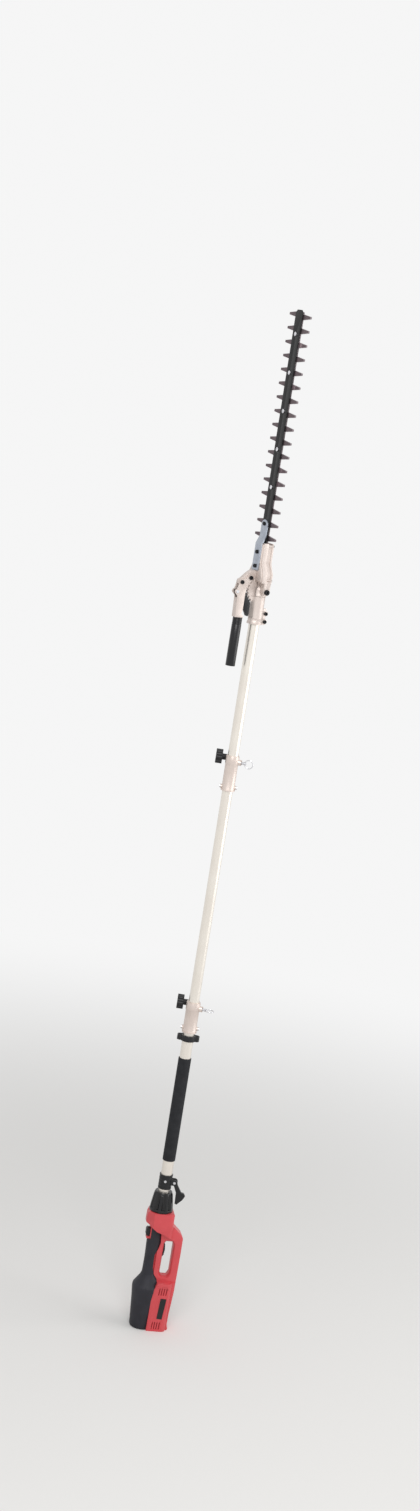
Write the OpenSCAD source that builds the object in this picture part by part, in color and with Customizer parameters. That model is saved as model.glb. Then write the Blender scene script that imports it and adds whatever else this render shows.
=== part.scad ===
// Pole hedge trimmer: +Z runs along the pole, head up; the pole axis is the Z axis,
// z = 0 is the tail of the motor housing, and the head folds towards +X.

/* [Pole] */
// Outer diameter of the upper and middle tubes
tube_d = 24; // [20:0.5:28]
// Outer diameter of the lower tube
lower_tube_d = 26; // [24.5:0.5:30]
// Wall of all tubes
tube_wall = 1.5; // [1:0.1:2]
// Lower tube from the top of the housing to its joint
lower_len = 472; // [440:1:560]
// Middle tube, joint to joint
middle_len = 575; // [300:1:700]
// Upper tube from its joint to the tilt axis
upper_len = 415; // [320:1:500]
// Diameter of the drive shaft
shaft_d = 8; // [6:0.5:9]

/* [Couplings] */
// Length of the lower coupling sleeve
lower_sleeve_len = 72; // [60:1:90]
// Length of the upper coupling sleeve
upper_sleeve_len = 80; // [60:1:90]
// Wall of a coupling sleeve
sleeve_wall = 2.4; // [1.8:0.1:4]
// Diameter of a star knob
knob_d = 34; // [28:1:40]
// Travel of a lock pin
lock_travel = 5; // [3:0.5:6]

/* [Front grip] */
// Top of the housing to the lower end of the soft grip
grip_z = 124; // [120:1:160]
// Length of the soft grip
grip_len = 250; // [150:1:270]
// Wall of the soft grip
grip_wall = 1.7; // [1:0.1:3]
// Top of the housing to the lower end of the ribbed band
band_z = 55; // [55:1:75]
// Height of the ribbed band
band_h = 34; // [30:1:40]
// Lower joint down to the strap ring's lower face
strap_drop = 56; // [50:1:66]
// Height of the strap ring
strap_h = 13; // [8:1:14]
// Diameter of a strap eye
strap_eye_d = 8; // [5:0.5:9]
// Height of the collar nut
collar_h = 47; // [36:1:52]

/* [Housing] */
// Tail to the top of the red housing
housing_h = 290; // [280:1:310]
// Pole axis to the outer face of the D-loop
loop_x = 60; // [58:1:70]
// Width of the D-loop's bar
loop_bar = 17; // [12:1:20]
// Depth of the D-loop's bar
loop_depth = 30; // [24:1:34]
// Bottom of the finger hole
hole_z0 = 127; // [120:1:140]
// Top of the housing down to the top of the finger hole
hole_drop = 68; // [66:1:85]
// Depth of the housing round the motor
body_depth = 61; // [57:1:64]
// Wall of the housing
shell_wall = 2.6; // [2:0.1:2.8]
// Outer radius of the soft cover at the motor
cover_r = 34.5; // [33:0.5:36]
// Thickness of the soft cover
cover_t = 2.4; // [1.5:0.1:2.5]
// Outer radius of the soft cover on the rear grip
rear_grip_r = 16.5; // [16:0.5:19]
// Turn of the whole rear handle on the pole, set at the collar
rear_turn = -20; // [-30:1:30]
// Turn of the trigger when pressed, degrees
trigger_turn = 10; // [5:1:12]
// Travel of the lock-off button
button_travel = 3; // [2:0.5:4]

/* [Motor] */
// Diameter of the motor's field stack
motor_d = 46; // [42:1:47]
// Length of the motor's field stack
motor_len = 46; // [36:1:52]
// Number of fan blades
fan_blades = 9; // [5:1:14]

/* [Blades] */
// Teeth along one edge
teeth = 17; // [8:1:18]
// Tooth spacing
pitch = 30; // [26:1:32]
// Length of a tooth from the blade's spine
tooth_len = 31; // [20:1:36]
// Width of a tooth at its root
tooth_root = 13; // [9:1:16]
// Width of a tooth at its tip
tooth_tip = 5; // [3:0.5:8]
// Thickness of one blade
blade_t = 1.8; // [1.5:0.1:2]
// Width of the black guide bar
bar_w = 28; // [24:1:30]
// Thickness of the guide bar
bar_t = 2.9; // [2:0.1:4]
// Travel of a blade each way
stroke = 4.5; // [3:0.5:5]
// Guide bolts along the bar
bar_bolts = 5; // [2:1:6]

/* [Head] */
// Tilt axis to the top of the gear case
case_h = 105; // [95:1:120]
// Width of the upper gear case
case_w = 34; // [34:1:38]
// Width of the gear case at its bulge
bulge_w = 62; // [58:1:70]
// Radius of the toothed sector
sector_r = 32; // [29:0.5:33]
// Thickness of the toothed sector
sector_t = 9; // [6:1:9]
// Angle between two tilt positions
tilt_step = 15; // [15:15:30]
// Largest tilt of the head
tilt_max = 90; // [60:15:90]
// Length of the tilt handle's grip
handle_len = 109; // [80:1:130]
// Diameter of the tilt handle's grip
handle_d = 21.5; // [18:0.5:26]
// Teeth of the small gears at the tilt joint
pinion_teeth = 10; // [10:1:10]
// Teeth of the crank gear
crank_teeth = 40; // [40:1:40]

/* [Hidden] */

$fn = 48;
e = 0.01;
run_gap = 0.05;      // running clearance of pins and shafts
slip = 0.15;         // clearance of pieces that slide together
loose = 0.3;         // clearance between moving bodies

tube_r = tube_d/2;
lower_tube_r = lower_tube_d/2;
shaft_r = shaft_d/2;
lower_joint_z = housing_h + lower_len;
upper_joint_z = lower_joint_z + middle_len;
pivot_z = upper_joint_z + upper_len;

// head, measured from the tilt axis
crank_z = 44;                          // crank centre above the tilt axis
crank_r = 20;                          // outer radius of the crank gear's teeth
ecc_r = 6.5;                           // radius of an eccentric
lower_x = -4 - blade_t;                // lower blade's outer face
upper_x = lower_x - 0.1 - blade_t;     // upper blade's outer face
bar_x = upper_x - 0.1 - bar_t;         // guide bar's outer face
case_x0 = -18;                         // outer face of the front casting
case_x1 = 11.5;                        // outer face of the back casting
split_x = -2;                          // parting plane of the castings
window_h = ecc_r + 2*stroke + loose;
window_w = ecc_r + stroke + loose;
tail_rail = 2.9;                       // metal each side of a window
case_wall = 2.7;
dome_r = 15.8;                         // domed top of the tube clamp
dome_gap = 0.8;
bush_z0 = 14.4;
bush_z1 = 20.2;
bush_r = 7;
slot_w = 9.2;                          // half width of the clamp's slot
nose_w = 8.6;                          // half width of the nose that carries the head bush
first_tooth_z = case_h + 11.2;
tip_z = first_tooth_z + (teeth - 1)*pitch + 14.8;
bolt_pitch = (tip_z - 52 - first_tooth_z - pitch*3.7)/(bar_bolts - 1);
bracket_t = 3;
bracket_w = 26;
bracket_top = case_h + 51;
bracket_bolt_top = case_h + 42;
case_bolt_a = case_h - 21;
case_bolt_b = case_h - 52;
pin_r = 3;                             // tilt pivot pin
ear_out = bulge_w/2;
ear_in = dome_r + 0.6;
idler_y = 4.8;                         // tips of the idler's teeth
idler_r = 14;
pinion_r = 6;
handle_x = -44;                         // axis of the tilt handle
handle_top = -63;
lever_x = -59;                         // pivot of the release lever
lever_z = -6.5;
pawl_angle = 225;                      // where the pawl meets the sector
rest_gap = 0.35;                       // pawl to teeth when at rest

case_floor = 19;                       // underside of the case above the tilt axis
fork_r = 8;                            // radius of the fork round the pivot bolt
ear_x = 4.8;                           // half thickness of the ear that carries the handle
arm_y = 7.5;                           // half thickness of the handle's arm
arm_floor = 1.5;                       // floor of the arm above the grip

// rear unit
bulge_z = 108;
cover_x = -5;                          // axis of the soft cover's turned form
grip_z0 = 138;
shoulder_z = housing_h - 46;           // underside of the red shoulder on the pole's axis
grip_z1 = shoulder_z - slip;
hole_z1 = housing_h - hole_drop;
core_r = rear_grip_r - cover_t - slip;
motor_r = motor_d/2;
motor_z = 30;
fan_z = motor_z + motor_len + 5;
top_x0 = -30;
top_x1 = 31;
top_y = 29;
neck_z = housing_h - 30;

knob_dir = 150;                        // the couplings' knobs point here
pin_dir = -45;                         // the lock pins point here

// ---------- shared shapes ----------

// extrudes an outline drawn in (Y, Z) along X, from x0 to x1
module along_x(x0, x1) translate([x0, 0, 0]) rotate([90, 0, 90]) linear_extrude(x1 - x0) children();

// extrudes an outline drawn in (X, Z) along Y, from y0 to y1
module along_y(y0, y1) translate([0, y1, 0]) rotate([90, 0, 0]) linear_extrude(y1 - y0) children();

// round bar along +X from x0 to x1
module bar_along_x(r, x0, x1) translate([x0, 0, 0]) rotate([0, 90, 0]) cylinder(r = r, h = x1 - x0);

// round bar along +Y from y0 to y1
module bar_along_y(r, y0, y1) translate([0, y0, 0]) rotate([-90, 0, 0]) cylinder(r = r, h = y1 - y0);

module tube(r_out, r_in, h) difference() {
    cylinder(r = r_out, h = h);
    translate([0, 0, -1]) cylinder(r = r_in, h = h + 2);
}

// upright box with round corners of radius r
module round_box(x0, x1, y, r, h) {
    translate([x0 + r, -y, 0]) cube([x1 - x0 - 2*r, 2*y, h]);
    translate([x0, -y + r, 0]) cube([x1 - x0, 2*y - 2*r, h]);
    for (x = [x0 + r, x1 - r], s = [-1, 1]) translate([x, s*(y - r), 0]) cylinder(r = r, h = h);
}

// socket screw along +X with its head at x0 - head, shank to x1
module socket_screw(r, x0, x1, head = 3) {
    bar_along_x(r, x0 - e, x1);
    difference() {
        bar_along_x(r*1.7, x0 - head, x0);
        translate([x0 - head - 1, 0, 0]) rotate([0, 90, 0]) cylinder(r = r*0.85, h = head*0.6 + 1, $fn = 6);
    }
}

// outline of a spur gear
module gear_outline(n, r_root, r_tip, fill = 0.38) {
    circle(r = r_root);
    tooth_w = 2*PI*r_tip/n*fill;
    for (i = [0:n - 1]) rotate(i*360/n) translate([0, -tooth_w/2]) square([r_tip, tooth_w]);
}

// teeth of a face gear that stand up from z = 0
module face_teeth(n, r0, r1, h, fill = 0.38) {
    tooth_w = PI*(r0 + r1)/n*fill;
    for (i = [0:n - 1]) rotate((i + 0.5)*360/n) translate([r0, -tooth_w/2, -e]) cube([r1 - r0, tooth_w, h + e]);
}

// torus
module ring(r, wire) rotate_extrude() translate([r, 0]) circle(r = wire, $fn = 24);

// compressed coil spring of n turns along +Z
module coil(r, wire, n) for (i = [0:n - 1]) translate([0, 0, wire + i*2*wire*0.98]) ring(r, wire);

module at_pivot() translate([0, 0, pivot_z]) children();

// ---------- cutter ----------

// (Y, Z) outline of a blade: spine, teeth on both edges, and a tail for the crank
module blade_outline(spine, tail_w) {
    translate([-spine, case_h - 6]) square([2*spine, tip_z - case_h + 2]);
    translate([-spine, crank_z]) square([2*spine, case_h - crank_z]);
    translate([-tail_w, crank_z - window_h - 3]) square([2*tail_w, 2*window_h + 6 + tail_rail]);
    for (i = [0:teeth - 1], s = [-1, 1]) translate([0, first_tooth_z + i*pitch + (s > 0 ? 5 : 0)])
        polygon([[s*(spine - 1), -tooth_root/2], [s*(bar_w/2 + tooth_len), -tooth_tip/2],
            [s*(bar_w/2 + tooth_len), tooth_tip/2], [s*(spine - 1), tooth_root/2]]);
}

module blade(x) {
    spine = bar_w/2 - 2;
    at_pivot() difference() {
        along_x(x, x + blade_t) blade_outline(spine, window_w + tail_rail);
        translate([x - 1, -window_w, crank_z - window_h]) cube([blade_t + 2, 2*window_w, 2*window_h]);
        for (i = [0:bar_bolts - 1]) translate([0, 0, bar_bolt_z(i)]) {
            translate([x - 1, -2.7, -stroke]) cube([blade_t + 2, 5.4, 2*stroke]);
            for (s = [-1, 1]) translate([0, 0, s*stroke]) bar_along_x(2.7, x - 1, x + blade_t + 1);
        }
    }
}

function bar_bolt_z(i) = tip_z - 52 - i*bolt_pitch;

module upper_blade() color([0.42, 0.36, 0.38]) blade(upper_x);
module lower_blade() color([0.45, 0.39, 0.41]) blade(lower_x);

module blade_bar() color([0.13, 0.13, 0.14]) at_pivot() difference() {
    along_x(bar_x, bar_x + bar_t) {
        translate([-bar_w/2, case_h - 33]) square([bar_w, tip_z - 6 - case_h + 33]);
        polygon([[-bar_w/2, tip_z - 6 - e], [bar_w/2, tip_z - 6 - e], [bar_w/2 - 6, tip_z], [-bar_w/2 + 6, tip_z]]);
    }
    for (i = [0:bar_bolts - 1]) translate([0, 0, bar_bolt_z(i)]) bar_along_x(2.5, bar_x - 1, bar_x + bar_t + 1);
    for (z = [bracket_bolt_top, case_bolt_a]) translate([0, 0, z]) bar_along_x(2.5, bar_x - 1, bar_x + bar_t + 1);
}

module blade_bolts() color([0.7, 0.7, 0.72]) at_pivot()
    for (i = [0:bar_bolts - 1]) translate([0, 0, bar_bolt_z(i)]) {
        bar_along_x(2.5, bar_x - 1, lower_x + blade_t + 0.2);
        difference() {
            bar_along_x(4.6, bar_x - 2, bar_x);
            bar_along_x(1.6, bar_x - 3, bar_x - 1.2);
        }
        translate([lower_x + blade_t + 0.2, 0, 0]) rotate([0, 90, 0]) cylinder(r = 5, h = 3, $fn = 6);
    }

// (X, Z) side outline of the jogged strip, thickened to bracket_t
module blade_bracket() color([0.68, 0.71, 0.75]) {
    hi = bar_x;
    lo = case_x0;
    at_pivot() difference() {
        intersection() {
            along_y(-bracket_w/2, bracket_w/2) polygon([
                [hi, bracket_top], [hi, case_h + 14], [lo, case_h - 3], [lo, case_bolt_b - 9],
                [lo - bracket_t, case_bolt_b - 9], [lo - bracket_t, case_h - 2],
                [hi - bracket_t, case_h + 15], [hi - bracket_t, bracket_top]]);
            along_x(lo - bracket_t - 1, hi + 1) {
                translate([-bracket_w/2, case_bolt_b - 10]) square([bracket_w, bracket_top - case_bolt_b + 10 - bracket_w/2]);
                translate([0, bracket_top - bracket_w/2]) circle(r = bracket_w/2);
            }
        }
        for (z = [bracket_bolt_top, case_bolt_a, case_bolt_b]) translate([0, 0, z])
            bar_along_x(2.5, lo - bracket_t - 1, hi + 1);
    }
}

module bracket_bolts() color([0.12, 0.12, 0.13]) at_pivot() {
    translate([0, 0, bracket_bolt_top]) socket_screw(2.5, bar_x - bracket_t, bar_x + bar_t);
    translate([0, 0, case_bolt_a]) socket_screw(2.5, case_x0 - bracket_t, bar_x + bar_t);
    translate([0, 0, case_bolt_b]) socket_screw(2.5, case_x0 - bracket_t, case_x0 + 5);
}

// ---------- gear case ----------

// (Y, Z) outline of the case, drawn in by d all round
module case_outline(d = 0) {
    w = case_w/2 - d;
    b = bulge_w/2 - d;
    polygon([[-w, case_h - d], [-w, 62], [-b, 38], [-b, case_floor + d], [b, case_floor + d], [b, 38], [w, 62],
        [w, case_h - d]]);
}

// (X, Z) outline of the ear that carries the tilt handle
module ear_outline() polygon([[case_x0 + 6, 62], [case_x0, case_bolt_b - 9.5], [-32, 42], [-42, 34], [-50, 25], [-57, 20],
    [-58, 12], [-52, 8], [case_x0 - 14, 2], [case_x0 + 6, 8]]);

// the whole casting before it is parted
module case_form() {
    along_x(case_x0, case_x0 + 3) case_outline(3);
    along_x(case_x0 + 3, split_x - 1.5) case_outline();
    along_x(split_x - 1.5, 5.5) case_outline(2.4);
    along_x(5.5, 8.5) case_outline(-0.4);
    along_x(8.5, case_x1) case_outline(3);
    // fork ears down to the tilt axis
    for (s = [-1, 1]) bar_along_y(fork_r, s > 0 ? ear_in : -ear_out, s > 0 ? ear_out : -ear_in);
    for (s = [-1, 1]) translate([-fork_r, s > 0 ? ear_in : -ear_out, 0])
        cube([2*fork_r, ear_out - ear_in, case_floor + 4]);
    along_y(-ear_x, ear_x) ear_outline();
    // nose with the head bush
    translate([-10, -nose_w, 5]) cube([20, 2*nose_w, case_floor]);
}

module case_cuts() {
    // room for the clamp's dome, the sector and the idler
    intersection() {
        bar_along_y(dome_r + dome_gap, -ear_in, ear_in);
        union() {
            for (s = [-1, 1]) translate([-30, s > 0 ? nose_w + e : -40, -30]) cube([60, 40 - nose_w, 60]);
            bar_along_y(bush_z0 - 2, -30, 30);
        }
    }
    for (s = [-1, 1]) translate([-60, s > 0 ? nose_w + e : -ear_in, -60]) cube([120, ear_in - nose_w, 60]);
    bar_along_y(bush_z0 - 2, -ear_in, ear_in);
    bar_along_y(idler_r + 0.4, idler_y - 0.4, ear_in);
    // groove of the sector
    intersection() {
        bar_along_y(sector_r + 1, -sector_t/2 - 0.6, sector_t/2 + 0.6);
        rotate([0, -30, 0]) translate([-80, -20, -80]) cube([80, 40, 160]);
    }
    intersection() {
        bar_along_y(sector_r + 1, -8, 8);
        translate([-60, -20, -60]) cube([60 - 18, 40, 120]);
    }
    // pivot pin
    bar_along_y(pin_r + run_gap, -60, 60);
    // head bush and pinion
    translate([0, 0, bush_z0 - 0.1]) cylinder(r = bush_r + 0.02, h = bush_z1 - bush_z0 + 0.1);
    cylinder(r = 5.4, h = bush_z0 + 1);
    translate([0, 0, bush_z1 - e]) cylinder(r = 4.6, h = crank_z - 14 - bush_z1 + 1);
    // crank gear, eccentrics and their journals
    translate([0, 0, crank_z]) {
        bar_along_x(crank_r + 1, 1.6, 8.9);
        bar_along_x(12.4, upper_x - 0.4, 2);
        bar_along_x(5.5 + 0.02, 8, 10.6);
        bar_along_x(5 + 0.02, case_x0 + 3.5, upper_x);
    }
    // blades' tails and guide bar
    w = window_w + tail_rail + 0.4;
    translate([upper_x - 0.3, -w, crank_z - window_h - 3.4 - stroke])
        cube([2*blade_t + 0.7, 2*w, case_h]);
    translate([bar_x - 0.05, -bar_w/2 - 0.1, case_h - 33.1]) cube([bar_t + 0.1, bar_w + 0.2, 60]);
    for (z = [case_bolt_a, case_bolt_b]) translate([0, 0, z]) bar_along_x(2.5 + e, case_x0 - 1, bar_x + 1);
    for (p = case_screw_places) translate([0, p[0], p[1]]) {
        bar_along_x(1.7, -9, 13);
        bar_along_x(3.2, case_x1 - 4, 13);
    }
    for (p = ear_bolts) translate([p[0], 0, p[1]]) bar_along_y(2.5 + e, -12, 12);
}

case_screw_places = [[13.9, case_h - 5], [-13.9, case_h - 5], [27, 27], [-27, 27]];
ear_bolts = [[-51, 15.5], [-30.5, 26.5]];

module gear_case_front() color([0.91, 0.87, 0.83]) at_pivot() difference() {
    intersection() {
        case_form();
        translate([-80, -50, -60]) cube([80 + split_x, 100, 260]);
    }
    case_cuts();
}

module gear_case_back() color([0.91, 0.87, 0.83]) at_pivot() difference() {
    intersection() {
        case_form();
        translate([split_x, -50, -60]) cube([80, 100, 260]);
    }
    case_cuts();
}

module gear_case_screws() color([0.2, 0.2, 0.21]) at_pivot()
    for (p = case_screw_places) translate([0, p[0], p[1]]) {
        bar_along_x(1.65, -7.5, case_x1 - 3.9);
        difference() {
            bar_along_x(3, case_x1 - 4, case_x1 - 1);
            translate([case_x1 - 2.4, 0, 0]) rotate([0, 90, 0]) cylinder(r = 1.5, h = 3, $fn = 6);
        }
    }

// ---------- gears ----------

module crank_gear() color([0.55, 0.55, 0.57]) at_pivot() translate([0, 0, crank_z]) {
    bar_along_x(crank_r, 4.2, 8);
    bar_along_x(7, lower_x + blade_t + 0.1, 4.3);
    bar_along_x(4 - run_gap, 7.9, 10.4);
    rotate([0, -90, 0]) translate([0, 0, -4.2]) face_teeth(crank_teeth, 14, crank_r, 1.2, 0.3);
    translate([0, stroke, 0]) bar_along_x(ecc_r, lower_x, lower_x + blade_t + 0.2);
    translate([0, -stroke, 0]) bar_along_x(ecc_r, upper_x, upper_x + blade_t + 0.2);
    bar_along_x(3 - run_gap, case_x0 + 4, upper_x + e);
}

module crank_bushes() color([0.72, 0.5, 0.25]) at_pivot() translate([0, 0, crank_z]) {
    difference() {
        bar_along_x(5.5, 8.1, 10.6);
        bar_along_x(4, 7, 12);
    }
    difference() {
        bar_along_x(5, case_x0 + 3.6, upper_x - 0.5);
        bar_along_x(3, case_x0 + 3, upper_x);
    }
}

module head_pinion() color([0.55, 0.55, 0.57]) at_pivot() {
    translate([0, 0, 8]) linear_extrude(6) rotate(90) gear_outline(pinion_teeth, 3.4, 4.5, 0.32);
    translate([0, 0, 13.9]) cylinder(r = 3 - run_gap, h = bush_z1 - 13.9 + 0.4);
    translate([0, 0, bush_z1 + 0.3]) linear_extrude(crank_z - 14 - bush_z1 - 0.3)
        gear_outline(8, 2.7, 3.8, 0.32);
}

module head_bush() color([0.72, 0.5, 0.25]) at_pivot() translate([0, 0, bush_z0])
    tube(bush_r, 3, bush_z1 - bush_z0);

module idler_gear() color([0.55, 0.55, 0.57]) at_pivot() difference() {
    union() {
        bar_along_y(idler_r, idler_y + 1.4, slot_w - 0.3);
        translate([0, idler_y + 1.4, 0]) rotate([90, 0, 0]) face_teeth(2*pinion_teeth, 9.5, idler_r, 1.4, 0.24);
    }
    bar_along_y(pin_r + run_gap, 0, 20);
}

module pole_pinion() color([0.55, 0.55, 0.57]) at_pivot() difference() {
    union() {
        translate([0, 0, -14]) linear_extrude(6) rotate(90) gear_outline(pinion_teeth, 4.5, 5.75, 0.29);
        translate([0, 0, -24]) cylinder(r = 5 - run_gap, h = 9.6);
        translate([0, 0, -15]) cylinder(r = 4.4, h = 1.1);      // neck clear of the idler's teeth
    }
    translate([0, 0, -25]) cylinder(r = 3, h = 10);
}

// ---------- tilt joint and handle ----------

module tilt_pivot_bolt() color([0.1, 0.1, 0.11]) at_pivot() {
    bar_along_y(pin_r, -ear_out, ear_out + 4.5);
    translate([0, -ear_out, 0]) rotate([90, 0, 0]) difference() {
        cylinder(r = 6, h = 5);
        translate([0, 0, 2]) cylinder(r = 2.6, h = 4, $fn = 6);
    }
    translate([0, ear_out, 0]) rotate([-90, 0, 0]) cylinder(r = 6.2, h = 4, $fn = 6);
}

// (X, Z) outline of the handle's cast arm
module arm_outline() {
    polygon([[-56, 20], [-52, 22], [-41, 24], [-34, 32], [-28, 33], [-24, 29], [-25, 18], [-37, 4], [-38.5, -10],
        [-38.5, -44], [-41, handle_top + 8], [handle_x + 9, handle_top + 4], [handle_x + 9, handle_top],
        [handle_x - 11, handle_top], [-57, -16], [-63, -10], [-58, 6]]);
    translate([lever_x, lever_z]) circle(r = 5.5);
}

module tilt_handle_arm() color([0.8, 0.79, 0.78]) at_pivot() difference() {
    union() {
        along_y(-arm_y, arm_y) arm_outline();
        translate([handle_x, 0, handle_top - handle_len + 2.5]) cylinder(r = 6, h = handle_len - 2);
    }
    // fork for the ear, open towards the release lever
    translate([-90, -ear_x - slip, -20]) cube([90, 2*(ear_x + slip), 80]);
    translate([-54.5, -ear_x - slip, handle_top + arm_floor]) cube([40, 2*(ear_x + slip), 66]);
    bar_along_y(sector_r + 1, -12, 12);
    for (p = ear_bolts) translate([p[0], 0, p[1]]) bar_along_y(2.5, -12, 12);
    translate([lever_x, 0, lever_z]) bar_along_y(2 + run_gap, -12, 12);
}

module tilt_handle_grip() color([0.12, 0.12, 0.13]) at_pivot() translate([handle_x, 0, handle_top - handle_len]) {
    difference() {
        cylinder(d = handle_d, h = handle_len - 0.1);
        translate([0, 0, 2.4]) cylinder(r = 6.05, h = handle_len);
        for (z = [handle_len - 16:3:handle_len - 4]) translate([0, 0, z]) difference() {
            cylinder(d = handle_d + 2, h = 1.2);
            translate([0, 0, -1]) cylinder(d = handle_d - 1.4, h = 4);
        }
    }
}

// position of the pawl's tip
pawl_x = (sector_r + rest_gap)*cos(pawl_angle);
pawl_z = (sector_r + rest_gap)*sin(pawl_angle);

lever_y = ear_x - 0.2;

module release_lever() color([0.1, 0.1, 0.11]) at_pivot() difference() {
    union() {
        along_y(-lever_y, lever_y) difference() {
            polygon([[lever_x - 3, lever_z + 3], [lever_x + 4, lever_z + 4.5], [-40, -5], [-30, -9], [-22, -24],
                [-20.5, -32], [-20.5, -56], [-22, -59], [-25, -59], [-29, -52], [-34, -44], [-37, -30],
                [-46, -18], [lever_x - 1, lever_z - 5]]);
            circle(r = sector_r + rest_gap + 2.3);
        }
        // pawl
        translate([pawl_x, 0, pawl_z]) rotate([0, 180 - pawl_angle, 0]) translate([-6, -4.5, -0.9])
            cube([6, 9, 1.8]);
    }
    translate([lever_x, 0, lever_z]) bar_along_y(2 + run_gap, -12, 12);
}

module lever_pin() color([0.82, 0.82, 0.84]) at_pivot() translate([lever_x, 0, lever_z]) {
    bar_along_y(2, -arm_y - 1, arm_y + 1);
    bar_along_y(3.6, -arm_y - 2, -arm_y);
    bar_along_y(3.6, arm_y, arm_y + 2);
}

module arm_bolts() color([0.1, 0.1, 0.11]) at_pivot() for (p = ear_bolts) translate([p[0], 0, p[1]]) {
    bar_along_y(2.45, -arm_y - e, arm_y + e);
    difference() {
        bar_along_y(4.4, -arm_y - 3.4, -arm_y);
        translate([0, -arm_y - 1.5, 0]) rotate([90, 0, 0]) cylinder(r = 2.2, h = 4, $fn = 6);
    }
    translate([0, arm_y, 0]) rotate([-90, 0, 0]) cylinder(r = 4.4, h = 3, $fn = 6);
}

clamp_len = 75;
clamp_ear_x = 20.5;
clamp_bolt_z = [-50, -68];

// teeth of the sector: a notch at each tilt position
module sector_outline() difference() {
    intersection() {
        circle(r = sector_r);
        polygon([[0, 0], [-18, 27], [-60, 80], [-80, 0], [-60, -60], [-24, -34]]);
    }
    for (a = [0:tilt_step:tilt_max]) rotate(pawl_angle - a) translate([sector_r - 2.2, -1.9]) square([4, 3.8]);
}

module tube_clamp() color([0.91, 0.87, 0.83]) at_pivot() difference() {
    union() {
        translate([0, 0, -clamp_len]) cylinder(r = dome_r, h = clamp_len);
        translate([0, 0, -clamp_len]) cylinder(r = dome_r + 1.4, h = 4);
        translate([0, 0, -12]) cylinder(r = dome_r + 0.3, h = 1.5);
        sphere(r = dome_r);
        along_y(-sector_t/2, sector_t/2) sector_outline();
        // ears that pinch the tube
        translate([0, -8, -clamp_len]) cube([clamp_ear_x, 16, 36]);
        for (z = clamp_bolt_z) translate([clamp_ear_x, 0, z]) bar_along_y(6, -8, 8);
    }
    // slot for the gears and the nose
    translate([-9, -slot_w, -14.3]) cube([60, 2*slot_w, 60]);
    intersection() {
        translate([-40, -slot_w, -14.3]) cube([80, 2*slot_w, 60]);
        union() {
            bar_along_y(idler_r + 0.4, sector_t/2, slot_w);
            translate([-10 - 2*loose, -20, 4]) cube([80, 40, 60]);
            translate([-60, sector_t/2, -40]) cube([60, 20, 80]);
            translate([-60, -20 - sector_t/2, -40]) cube([60, 20, 80]);
        }
    }
    translate([0, 0, -clamp_len - 1]) cylinder(r = tube_r + 0.05, h = clamp_len - 25);
    translate([0, 0, -27]) cylinder(r = 7, h = 3.1);
    translate([0, 0, -24.5]) cylinder(r = 7.02, h = 10.5);
    // slit and bolt holes
    translate([8, -0.9, -clamp_len - 1]) cube([30, 1.8, 38]);
    for (z = clamp_bolt_z) translate([clamp_ear_x, 0, z]) bar_along_y(2.5, -20, 20);
    bar_along_y(pin_r + run_gap, -30, 30);
}

module clamp_bolts() color([0.1, 0.1, 0.11]) at_pivot()
    for (z = clamp_bolt_z) translate([clamp_ear_x, 0, z]) rotate([0, 0, 90]) {
        socket_screw(2.45, -8, 8.2, 3.4);
        translate([8, 0, 0]) rotate([0, 90, 0]) cylinder(r = 4.6, h = 3.4, $fn = 6);
    }

// ---------- tubes ----------

module pole_tube(r, z0, z1) difference() {
    translate([0, 0, z0]) cylinder(r = r, h = z1 - z0);
    translate([0, 0, z0 - 1]) cylinder(r = r - tube_wall, h = z1 - z0 + 2);
}

lock_z_up = upper_joint_z + upper_sleeve_len/2 - 13;
lock_z_low = lower_joint_z + lower_sleeve_len/2 - 13;

// hole of a lock pin through a tube
module lock_hole(z) translate([0, 0, z]) rotate([0, 0, pin_dir]) bar_along_x(3.2, 0, 40);
module screw_hole(z) translate([0, 0, z]) rotate([0, 0, knob_dir]) bar_along_x(2.1, -40, 40);

screw_z_up = upper_joint_z - upper_sleeve_len/2 + 8;
screw_z_low = lower_joint_z - lower_sleeve_len/2 + 10;

module upper_tube() color([0.86, 0.84, 0.8]) difference() {
    pole_tube(tube_r, upper_joint_z + 0.2, pivot_z - 27);
    lock_hole(lock_z_up);
}
module middle_tube() color([0.86, 0.84, 0.8]) difference() {
    pole_tube(tube_r, lower_joint_z + 0.2, upper_joint_z);
    lock_hole(lock_z_low);
    screw_hole(screw_z_up);
}
module lower_tube() color([0.86, 0.84, 0.8]) difference() {
    pole_tube(lower_tube_r, housing_h - 30, lower_joint_z);
    screw_hole(screw_z_low);
}

// ---------- couplings ----------

knob_off = 19;        // the clamp bolt passes behind the tube at this distance
boss_r = 6.5;
ear_reach = 13;       // half length of the clamp ears

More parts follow.
